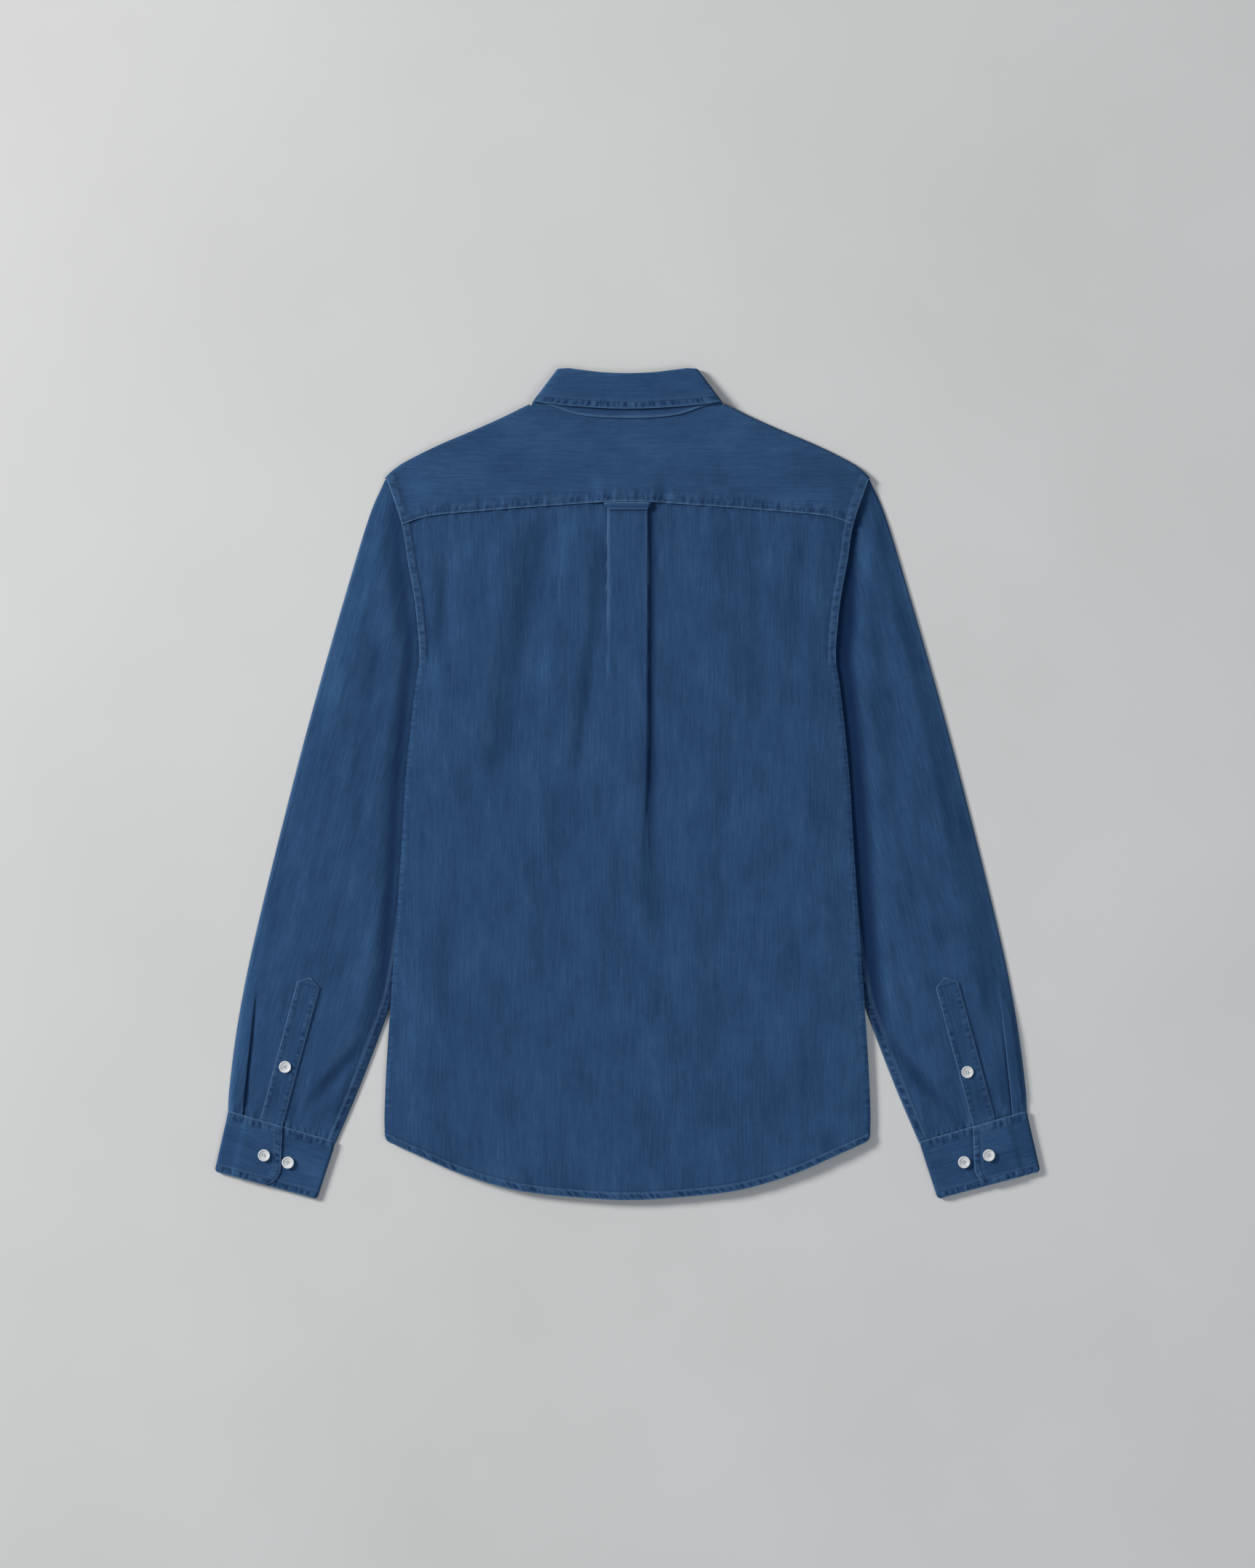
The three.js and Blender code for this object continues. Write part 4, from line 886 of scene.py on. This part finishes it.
def cuff(side, end):
    h = spaced((0.15, 8), (0.66, 16), (0.9, 14), (1, 10))[:, None]
    long = 104.0
    turn = 1.6 / long
    bends = np.linspace(0, math.pi, 9)
    mid = (CUFF_UPPER + FLOOR_LAYER) / 2
    swing = (CUFF_UPPER - FLOOR_LAYER) / 2
    ones = np.ones_like(h)
    w = [ones * a for a in np.linspace(CUFF_UNDER_START, 1 - 3 * turn, 44)]
    z = [ones * CUFF_UPPER for _ in w]
    w.extend(ones * (1 - 2 * turn + 1.6 * turn * math.sin(a)) for a in bends)
    z.extend(ones * (mid + swing * math.cos(a)) for a in bends)
    below = np.linspace(1 - 3 * turn, 3 * turn, 24)
    w.extend(ones * a for a in below)
    z.extend(ones * FLOOR_LAYER for _ in below)
    w.extend(ones * (2 * turn - 1.6 * turn * math.sin(a)) for a in bends)
    z.extend(ones * (mid - swing * math.cos(a)) for a in bends)
    for t in spaced((0.9, 34), (1, 8))[4:]:
        w.append(t * cuff_end(h))
        z.append(CUFF_UPPER + (LAYER + 0.1) * ease((t * cuff_end(h) - 0.14) / 0.07))
    w = np.concatenate(w, 1)
    z = np.concatenate(z, 1)
    tall = 57.0
    corner = np.clip((h - 1) * tall / 3.5 + 1, 0, 1)
    inset = 3.5 * (1 - np.sqrt(1 - corner * corner))
    x, y = cuff_place(0.5 + (w - 0.5) * (1 - 2 * inset / long), h)
    high = np.clip((z - FLOOR_LAYER) / (CUFF_UPPER - FLOOR_LAYER), 0, 1)
    y = y + 1.9 * ease(1 - h * tall / 9) * high
    from_top = h * tall
    from_low = (1 - h) * tall
    last = np.arange(w.shape[1])[None, :] > 86
    from_end = np.where(last, (cuff_end(h) - w) * long, 99)
    edge = np.minimum(np.minimum(from_top, from_low), np.maximum(from_end, 0))
    swell = ease(edge / 2.5)
    turned = np.minimum(from_low, np.maximum(from_end, 0))
    groove = np.exp(-(((turned - 6.3) / 0.9) ** 2)) * ease((from_top - 3) / 4)
    wave = ripple(w * long + 0.4 * from_low, 41 + side, 12)
    relief = 0.3 * swell - 0.2 * groove + 0.22 * wave * np.exp(-((edge / 7) ** 2))
    upper = z > CUFF_UPPER - 0.2
    z = z + np.where(upper, relief - 0.3, 0)
    tilt = math.radians(16)
    along = x * math.cos(tilt) + y * math.sin(tilt)
    across = -x * math.sin(tilt) + y * math.cos(tilt)
    grain = np.stack([across, along * side], -1)
    wear = 0.75 * np.exp(-((edge / 1.0) ** 2))
    wear = wear + 0.25 * np.exp(-(((turned - 7.4) / 0.9) ** 2)) * ease((from_top - 3) / 4)
    # Painted shade: the stitched groove, pucker dips and the shadow under the lapping end
    dips = np.maximum(-wave, 0)
    shade = 0.4 * groove + 0.35 * dips * np.exp(-(((edge - 4) / 4) ** 2))
    after_lap = (w - cuff_end(h)) * long
    under = np.exp(-np.maximum(after_lap, 0) / 2.5) * (after_lap > -4) * (~last)
    shade = shade + 0.7 * under
    by_edges = np.minimum(from_top, from_low)
    by_end = np.maximum(from_end, 0)
    clear = ease((by_edges - 8) / 4)
    seam = sewn((np.exp(-(((by_edges - 3.4) / 3.4) ** 4)) * upper, w * long, by_edges),
                (np.exp(-(((by_end - 3.4) / 3.4) ** 4)) * upper * clear, h * tall, by_end))
    middle = np.stack([side * x, y, z], -1)
    if side > 0:
        middle, grain, wear, shade, seam = (a[::-1] for a in (middle, grain, wear, shade, seam))
    name = "cuff_" + end
    piece = cloth(name + "_cloth", middle, grain, wear, shade=shade, seam=seam)
    put(piece, name)
    return piece


# Sleeve plackets

def slit_place(d, across):
    """Place on a sleeve's placket: d down from its pointed end, across from its middle."""
    length = math.hypot(SLIT_END[0] - SLIT_TIP[0], SLIT_END[1] - SLIT_TIP[1])
    down_x = (SLIT_END[0] - SLIT_TIP[0]) / length
    down_y = (SLIT_END[1] - SLIT_TIP[1]) / length
    return SLIT_TIP[0] + down_x * d - down_y * across, SLIT_TIP[1] + down_y * d + down_x * across


def slit_length(across):
    """How far down the placket reaches: to just above the cuff's seam."""
    top = above_cuff(*slit_place(0 * across, across))
    next_one = above_cuff(*slit_place(0 * across + 1, across))
    return (top - 0.8) / (top - next_one)


def sleeve_placket(side, end):
    point = SLEEVE_PLACKET_POINT
    steps = np.concatenate([np.linspace(0, point, 8), np.linspace(8.5, 134, 84)])[:, None]
    half = np.minimum(1 + (SLEEVE_PLACKET_HALF - 1) * steps / point, SLEEVE_PLACKET_HALF)
    share = np.linspace(-1, 1, 23)[None, :]
    lower = mix(point, slit_length(share * half), (steps - point) / (134 - point))
    d = np.where(steps > point, lower, steps)
    x, y = slit_place(d, share * half)
    from_side = (1 - np.abs(share)) * half
    from_top = d + 0 * share
    edge = np.minimum(from_side, from_top * 0.7)
    wave = ripple(d + share * 3, 51 + side, 11) * np.exp(-((edge / 5) ** 2))
    z = sleeve_top(side * x, y) + LAYER + 0.25 + 0.2 * ease(edge / 2) - 0.2 + 0.18 * wave
    grain = np.stack([share * half + 300, -(d + 0 * share)], -1)
    wear = 0.8 * np.exp(-((edge / 0.9) ** 2))
    # Painted shade in the dips of the edge's waves
    shade = 0.35 * np.maximum(-wave, 0) * np.exp(-((edge / 6) ** 2))
    seam = sewn((0.7 * np.exp(-(((edge - 2.6) / 2.8) ** 4)), d, edge))
    middle = np.stack([side * x, y, z], -1)
    if side < 0:
        middle, grain, wear, shade, seam = (a[:, ::-1] for a in (middle, grain, wear, shade, seam))
    name = "sleeve_placket_" + end
    piece = cloth(name + "_cloth", middle, grain, wear, shade=shade, seam=seam)
    put(piece, name)
    return piece


# Collar

POINT = (61.0, 258.0)
FRONT_TOP = (5.0, 320.0)
COLLAR_ROUND = 3.0
BACK_HEIGHT = 7.9
NESTED = 1.7
STAND_INSET = 3.9
STAND_LOW = (84.5, 367.2)
STAND_ROUND = 1.6
STAND_END = (-12.0, 315.5)
IN_FOLD = 67.6 - COLLAR_ROUND - WALL / 2
IN_EDGE = 91.4 - COLLAR_ROUND - WALL / 2


def yoke_at_neck(x):
    return float(yoke_middle(x, neck_seam_y(min(abs(x), 80)) - 2))


def collar_edge_z(x):
    return yoke_at_neck(x) + 2 * LAYER + 0.9


def collar_line(kind, side, share):
    """The fall's fold and lower edge at a station, and the way from it to the stand's layer."""
    corner_y = float(collar_fold_y(IN_FOLD)) - WALL / 2
    last_y = COLLAR_EDGE[-1][1]
    if kind == "back":
        fold_x, edge_x = IN_FOLD * share, IN_EDGE * share
        fold = (fold_x, float(collar_fold_y(fold_x)) - WALL / 2, BACK_HEIGHT)
        edge = (edge_x, float(follow(COLLAR_EDGE, edge_x)), collar_edge_z(edge_x))
        inward = (0, 0, -NESTED)
    elif kind == "side":
        reach = COLLAR_ROUND * math.sin(share)
        turn = (1 + math.cos(share)) / 2
        fold = (IN_FOLD + reach, corner_y, mix(FLOOR_LAYER, BACK_HEIGHT, turn))
        edge = (IN_EDGE + reach, last_y, mix(FLOOR_LAYER, collar_edge_z(IN_EDGE), turn))
        inward = (-NESTED * math.sin(share), 0, -NESTED * math.cos(share))
    else:
        t = min(share, 1)
        fold = (mix(IN_FOLD, FRONT_TOP[0], t), mix(corner_y, FRONT_TOP[1], t), FLOOR_LAYER)
        edge = (mix(IN_EDGE, POINT[0], t), mix(last_y, POINT[1], t), FLOOR_LAYER)
        stand_z = float(front_middle(side, fold[0], fold[1])) + 0.2
        inward = (0, 0, stand_z - FLOOR_LAYER)
    fold, edge, inward = (np.array(p, float) for p in (fold, edge, inward))
    outward = fold - edge
    outward[2] = 0
    return fold, edge, inward, outward / np.linalg.norm(outward)


def round_collar(column, front_shares):
    columns = []
    for side in (-1, 1):
        stations = [("back", q) for q in np.linspace(0, 0.9, 34)]
        stations += [("side", a) for a in np.linspace(0, math.pi, 11)]
        stations += [("front", t) for t in front_shares]
        half = [column(kind, side, share) * [side, 1, 1] for kind, share in stations]
        columns.extend(half[:0:-1] if side < 0 else half)
    return np.stack(columns)


def collar_fall():
    inset = 3.0
    leaf = spaced((0.7, 14), (1, 12))[1:]

    def column(kind, side, share):
        fold, edge, inward, outward = collar_line(kind, side, share)
        rolled = []
        for a in np.linspace(-1, 1, 9):
            back = inset * a * a if abs(a) == 1 else 1.5 * a * a
            rolled.append(fold - outward * back + inward * (0.5 - 0.5 * math.sin(a * math.pi / 2)))
        start = fold - outward * inset
        down = [mix(start, edge, w) for w in leaf]
        return np.array(rolled + down)

    middle = round_collar(column, np.linspace(0.05, 1, 26))
    edge_run = np.linalg.norm(middle[:, -1] - middle[:, 9], axis=1)[:, None]
    from_edge = np.full(middle.shape[:2], 30.0)
    from_edge[:, 9:] = (1 - leaf[None, :]) * edge_run
    along = np.arange(middle.shape[0])[:, None] * 2.1
    wave = ripple(along + 0.3 * from_edge, 61, 11) * np.exp(-((from_edge / 8) ** 2))
    groove = np.exp(-(((from_edge - 6.8) / 0.9) ** 2))
    rise = 0.2 * wave - 0.15 * groove
    top = middle[..., 2] > 6
    middle[..., 2] += np.where(top, rise, 0)
    wear = 0.5 * np.exp(-((from_edge / 1.3) ** 2)) + 0.2 * np.exp(-(((from_edge - 7.6) / 1) ** 2))
    wear[:, 3:7] = 0.25
    grain = np.stack([middle[..., 1], middle[..., 0]], -1)
    # Painted shade in the stitched groove and the dips of the edge's waves
    dips = np.maximum(-ripple(along + 0.3 * from_edge, 61, 11), 0)
    shade = 0.45 * groove + 0.35 * dips * np.exp(-(((from_edge - 4) / 4) ** 2))
    seam = sewn((np.exp(-(((from_edge - 3.6) / 3.6) ** 4)) * top, along, from_edge))
    piece = cloth("collar_fall_cloth", middle, grain, wear, shade=shade, seam=seam)
    put(piece, "collar_fall")
    return piece


def collar_stand():
    in_low = STAND_LOW[0] - STAND_ROUND

    def low_z(x):
        return yoke_at_neck(x) + LAYER + 0.2

    def column(kind, side, share):
        fold, _, inward, outward = collar_line(kind, side, share)
        top = fold - outward * STAND_INSET + inward
        if kind == "back":
            x = in_low * share
            y = float(neck_seam_y(x)) - 1 + 1.6 * ease((share - 0.6) / 0.4)
            low = (x, y, low_z(x))
        elif kind == "side":
            under = float(front_middle(side, in_low, STAND_LOW[1])) + 0.2
            z = mix(under, low_z(in_low), (1 + math.cos(share)) / 2)
            low = (in_low + STAND_ROUND * math.sin(share), STAND_LOW[1], z)
        else:
            over = share > 1
            x = mix(FRONT_TOP[0], STAND_END[0], (share - 1) / 0.2) if over else mix(
                in_low, FRONT_TOP[0], share)
            y = float(front_neck_y(x)) + 1.3 + 2.6 * (x / NECK_HALF) ** 2
            low = (x, y, float(front_middle(side, x, y)) + 0.2)
            if over:
                part = (share - 1) / 0.2
                top = mix(top, np.array([STAND_END[0], STAND_END[1], 0]), part)
                top[2] = float(front_middle(side, top[0], top[1])) + 0.2
        return np.array([mix(top, np.array(low), w) for w in np.linspace(0, 1, 14)])

    fronts = np.concatenate([np.linspace(0.05, 1, 26), np.linspace(1.04, 1.2, 5)])
    middle = round_collar(column, fronts)
    from_low = np.linspace(1, 0, 14)[None, :] * 35 + np.zeros(middle.shape[:2])
    wear = 0.6 * np.exp(-((from_low / 1.2) ** 2))
    # Painted shade on the stand where it lies under the fall's edge
    shade = 0.6 * ease((from_low - 4) / 4)
    grain = np.stack([middle[..., 1], middle[..., 0]], -1)
    piece = cloth("collar_stand_cloth", middle, grain, wear, shade=shade)
    put(piece, "collar_stand")
    return piece


def locker_loop():
    share = np.linspace(-1, 1, 61)[None, :]
    v = np.linspace(0, 1, 9)[:, None]
    x = share * mix(LOOP_HALF - 3.7, LOOP_HALF + 0.6, v)
    top = yoke_seam_y(x) - 0.7
    sag = 0.6 * np.cos(share * math.pi / 2)
    y = mix(top - LOOP_WIDTH - sag, top, v)
    drop = 1.6 * ease((np.abs(x) - 20.3) / 2.3)
    crown = 0.9 * np.sin(v * math.pi) * np.cos(share * 1.2)
    z = back_middle(x, y) + PLEAT_RISE + LAYER + 0.1 - drop + crown
    edge = np.minimum(v, 1 - v) * LOOP_WIDTH
    wear = 0.85 * np.exp(-((edge / 0.8) ** 2)) + 0 * x
    grain = np.stack([y, x], -1)
    piece = cloth("locker_loop_cloth", np.stack([x, y, z], -1), grain, wear)
    return put(piece, "locker_loop")


# Buttons

def only(obj):
    bpy.ops.object.select_all(action="DESELECT")
    bpy.context.view_layer.objects.active = obj
    obj.select_set(True)


def settle(obj):
    """Leaves a finished piece at the origin with its place in its mesh."""
    only(obj)
    bpy.ops.object.transform_apply(location=True, rotation=True, scale=True)
    obj.select_set(False)
    return obj


def shown_button(node, spin):
    """A four-hole button with a raised rim and a dished middle, sewn on with thread."""
    low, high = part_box(node)
    centre = (low + high) / 2
    bpy.ops.object.select_all(action="DESELECT")
    bpy.ops.mesh.primitive_cylinder_add(vertices=48, radius=BUTTON_RADIUS * MM,
                                        depth=BUTTON_HEIGHT * MM, location=centre)
    body = bpy.context.object
    body.name = node + "_turned"
    bpy.ops.object.mode_set(mode="EDIT")
    bpy.ops.mesh.select_mode(type="FACE")
    bpy.ops.mesh.select_all(action="DESELECT")
    bpy.ops.object.mode_set(mode="OBJECT")
    for face in body.data.polygons:
        face.select = face.normal.z > 0.9
    bpy.ops.object.mode_set(mode="EDIT")
    bpy.ops.mesh.inset(thickness=BUTTON_RIM * MM)
    bpy.ops.mesh.inset(thickness=0.5 * MM)
    bpy.ops.transform.translate(value=(0, 0, -0.55 * MM))
    bpy.ops.object.mode_set(mode="OBJECT")
    for k in range(4):
        angle = spin + math.pi / 4 + k * math.pi / 2
        spot = (centre.x + 1.25 * MM * math.cos(angle), centre.y + 1.25 * MM * math.sin(angle), centre.z)
        bpy.ops.object.select_all(action="DESELECT")
        bpy.ops.mesh.primitive_cylinder_add(vertices=16, radius=0.62 * MM, depth=6 * MM, location=spot)
        drill = bpy.context.object
        only(body)
        cut = body.modifiers.new("hole", "BOOLEAN")
        cut.operation = "DIFFERENCE"
        cut.object = drill
        bpy.ops.object.modifier_apply(modifier="hole")
        bpy.data.objects.remove(drill)
    only(body)
    edge = body.modifiers.new("soft_edges", "BEVEL")
    edge.width = 0.18 * MM
    edge.segments = 2
    edge.limit_method = "ANGLE"
    edge.angle_limit = math.radians(35)
    bpy.ops.object.modifier_apply(modifier="soft_edges")
    body.data.materials.clear()
    body.data.materials.append(BUTTON)
    settle(body)
    smooth(body, 35)
    put(body, node, slot="button")
    strands = []
    for k in (-1, 1):
        across = spin + math.pi / 2
        reach = 0.88 * k * MM
        spot = (centre.x + reach * math.cos(across), centre.y + reach * math.sin(across),
                high.z - 0.5 * MM)
        bpy.ops.object.select_all(action="DESELECT")
        bpy.ops.mesh.primitive_uv_sphere_add(segments=12, ring_count=8, radius=1, location=spot)
        strand = bpy.context.object
        strand.scale = (1.3 * MM, 0.33 * MM, 0.3 * MM)
        strand.rotation_euler = (0, 0, spin)
        strands.append(settle(strand))
    bpy.ops.object.select_all(action="DESELECT")
    for strand in strands:
        strand.select_set(True)
    bpy.context.view_layer.objects.active = strands[0]
    bpy.ops.object.join()
    sewn = bpy.context.object
    sewn.name = node + "_thread"
    sewn.data.materials.clear()
    sewn.data.materials.append(WHITE_THREAD)
    smooth(sewn, 60)
    put(sewn, slot="button")
    return body


def plain_button(node):
    """The front's buttons face the surface: their CAD solids stay, with the button's finish."""
    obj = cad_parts[node]
    obj.data.materials.clear()
    obj.data.materials.append(BUTTON)
    return obj


# Stitching

STITCH = 1.75
STITCH_STEP = 2.4
STITCH_HALF = 0.22


def top_of(*pieces):
    """Height of the highest of some pieces over places in the plan."""
    trees = []
    for piece in pieces:
        corners = [v.co.copy() for v in piece.data.vertices]
        trees.append(BVHTree.FromPolygons(corners, [tuple(f.vertices) for f in piece.data.polygons]))

    def surface(x, y):
        heights = []
        for px, py in zip(x * MM, y * MM):
            hits = [tree.ray_cast((px, py, 1), (0, 0, -1))[0] for tree in trees]
            found = [hit.z for hit in hits if hit]
            heights.append(max(found) / MM if found else -5.0)
        return np.array(heights)

    return surface


def stitch_row(path, surface):
    """Corners and faces of the stitches along a path; surface gives a place's height."""
    path = np.asarray(path, float)
    steps = np.linalg.norm(np.diff(path, axis=0), axis=1)
    run = np.concatenate([[0], np.cumsum(steps)])
    count = int(run[-1] / STITCH_STEP)
    starts = (np.arange(count) + 0.5) * run[-1] / count
    ring_at = np.array([-0.5, -0.38, 0, 0.38, 0.5]) * STITCH
    girth = np.array([0.35, 0.85, 1, 0.85, 0.35]) * STITCH_HALF
    sink = np.array([0.28, 0.1, 0, 0.1, 0.28])
    angles = np.arange(6) * math.pi / 3
    corners, faces = [], []
    for s in starts:
        x = np.interp(s + ring_at, run, path[:, 0])
        y = np.interp(s + ring_at, run, path[:, 1])
        z = surface(x, y) - sink
        if z.min() < 0:
            continue
        way = np.array([x[-1] - x[0], y[-1] - y[0]])
        way /= max(np.linalg.norm(way), 1e-6)
        base = len(corners)
        for k in range(5):
            for a in angles:
                out = girth[k] * math.cos(a)
                corners.append((x[k] - way[1] * out, y[k] + way[0] * out,
                                z[k] + girth[k] * math.sin(a)))
        for k in range(4):
            for m in range(6):
                p, q = base + k * 6 + m, base + k * 6 + (m + 1) % 6
                faces.append((p, q, q + 6, p + 6))
        faces.append(tuple(base + m for m in range(6))[::-1])
        faces.append(tuple(base + 24 + m for m in range(6)))
    return corners, faces


def stitching(name, rows):
    corners, faces = [], []
    for path, surface in rows:
        more, sides = stitch_row(path, surface)
        shift = len(corners)
        corners.extend(more)
        faces.extend(tuple(c + shift for c in f) for f in sides)
    obj = mesh_object(name, np.array(corners), faces, BLUE_THREAD)
    only(obj)
    bpy.ops.object.mode_set(mode="EDIT")
    bpy.ops.mesh.select_all(action="SELECT")
    bpy.ops.mesh.normals_make_consistent(inside=False)
    bpy.ops.object.mode_set(mode="OBJECT")
    smooth(obj, 80)
    put(obj)
    return obj


def along_x(from_x, to_x, y_at, step=3.0):
    x = np.arange(from_x, to_x + 0.1, step)
    return np.stack([x, y_at(x)], -1)


def body_stitches():
    back_top = top_of(back)
    yoke_top = top_of(back, yoke_piece)
    rows = [
        (along_x(-212, 212, lambda x: yoke_seam_y(x) + 2), yoke_top),
        (along_x(-228, 228, lambda x: hem_y(x) + 6.8), back_top),
        (along_x(-86, 86, lambda x: follow(COLLAR_EDGE, np.abs(x)) + 6.8), top_of(fall)),
        (along_x(-72, 72, lambda x: neck_seam_y(x) + 2.4), top_of(stand)),
    ]
    loop_top = top_of(loop)
    for inset in (1.2, LOOP_WIDTH - 1.2):
        rows.append((along_x(-18, 18, lambda x: yoke_seam_y(x) - 1 - inset, 2), loop_top))
    for side in (-1, 1):
        y = np.arange(124, 293, 3.0)
        rows.append((np.stack([side * (torso_half(y) - 6.9), y], -1), yoke_top))
    stitching("body_stitches", rows)


def sleeve_stitches(side, end, pieces):
    sleeve_piece, cuff_piece, placket = pieces
    flip = np.array([side, 1])
    on_sleeve, on_cuff, on_placket = top_of(sleeve_piece), top_of(cuff_piece), top_of(placket)
    rows = []
    y = np.arange(-332, -120, 3.0)
    for inset in (1.6, 6.6):
        rows.append((np.stack([side * (follow(SLEEVE_INNER, y) + inset), y], -1), on_sleeve))
    for across in (SLEEVE_PLACKET_HALF - 1.3, SLEEVE_PLACKET_HALF - 4.2, 1.5 - SLEEVE_PLACKET_HALF):
        d = np.linspace(8, float(slit_length(np.array(across))) - 1, 44)
        rows.append((np.stack(slit_place(d, across + 0 * d), -1) * flip, on_placket))
    across = np.arange(-9, 9.1, 1.5)
    for bar in (28.0, 30.5):
        rows.append((np.stack(slit_place(bar + 0 * across, across), -1) * flip, on_placket))
    half = SLEEVE_PLACKET_HALF - 1.5
    tip = np.array([[8, -half], [1.8, -1], [1.8, 1], [8, half]])
    rows.append((np.stack(slit_place(tip[:, 0], tip[:, 1]), -1) * flip, on_placket))
    long, tall, inset = 104.0, 57.0, 6.3
    w = np.linspace(0.02, 0.98, 34)
    for h in (1.6 / tall, 1 - inset / tall):
        rows.append((np.stack(cuff_place(w, h + 0 * w), -1) * flip, on_cuff))
    h = np.linspace(0.05, 0.84, 22)
    rows.append((np.stack(cuff_place(cuff_end(h) - inset / long, h), -1) * flip, on_cuff))
    stitching("sleeve_stitches_" + end, rows)


back = back_panel()
loop = locker_loop()
fronts = [front_panel(-1, "front_left"), front_panel(1, "front_right")]
yoke_piece = yoke()
fall = collar_fall()
stand = collar_stand()
body_stitches()
for side, end in ((-1, "left"), (1, "right")):
    sleeve_stitches(side, end, (sleeve(side, end), cuff(side, end), sleeve_placket(side, end)))
    shown_button("button_cuff_outer_" + end, 0.3 * side)
    shown_button("button_cuff_spare_" + end, 0.9 * side)
    shown_button("button_placket_" + end, 0.1 * side)
for number in range(1, 7):
    plain_button(f"button_front_{number}")
plain_button("button_collar")


# Floor, light and camera

def studio():
    ground, surface = shader("pale_floor", 0.9)
    n = Nodes(ground)
    place = n.add("ShaderNodeTexCoord").outputs["Object"]
    mottle = n.streaks(place, (3, 3, 3), detail=3)
    n.link(n.blend(n.band(mottle, 0.3, 0.7, 0, 1), (0.70, 0.70, 0.69, 1), (0.74, 0.74, 0.735, 1)),
           surface.inputs["Base Color"])
    bpy.ops.object.select_all(action="DESELECT")
    bpy.ops.mesh.primitive_plane_add(size=14, location=(0, 0, 0))
    floor = bpy.context.object
    floor.name = "floor"
    floor.data.materials.append(ground)

    def lamp(name, place, size, power, tint):
        data = bpy.data.lights.new(name, "AREA")
        data.shape = "DISK"
        data.size = size
        data.energy = power
        data.color = tint
        obj = bpy.data.objects.new(name, data)
        obj.location = place
        bpy.context.scene.collection.objects.link(obj)
        aim = -obj.location
        obj.rotation_euler = aim.to_track_quat("-Z", "Y").to_euler()

    lamp("key", (-4.6, 2.0, 2.6), 1.6, 330, (1, 0.99, 0.97))
    lamp("fill", (1.8, -1.2, 3.2), 2.4, 30, (0.86, 0.93, 1))
    world = bpy.data.worlds.new("studio_air")
    world.use_nodes = True
    world.node_tree.nodes["Background"].inputs["Color"].default_value = (0.9, 0.94, 1, 1)
    world.node_tree.nodes["Background"].inputs["Strength"].default_value = 0.2
    bpy.context.scene.world = world
    bpy.context.scene.view_settings.view_transform = "Standard"

    data = bpy.data.cameras.new("camera")
    data.lens = 143.0
    data.sensor_width = 36.0
    data.clip_end = 50
    camera = bpy.data.objects.new("camera", data)
    picture_height = 2156 * 0.7 * MM
    camera.location = (0, 0, data.lens / data.sensor_width * picture_height + 6 * MM)
    bpy.context.scene.collection.objects.link(camera)
    bpy.context.scene.camera = camera


studio()
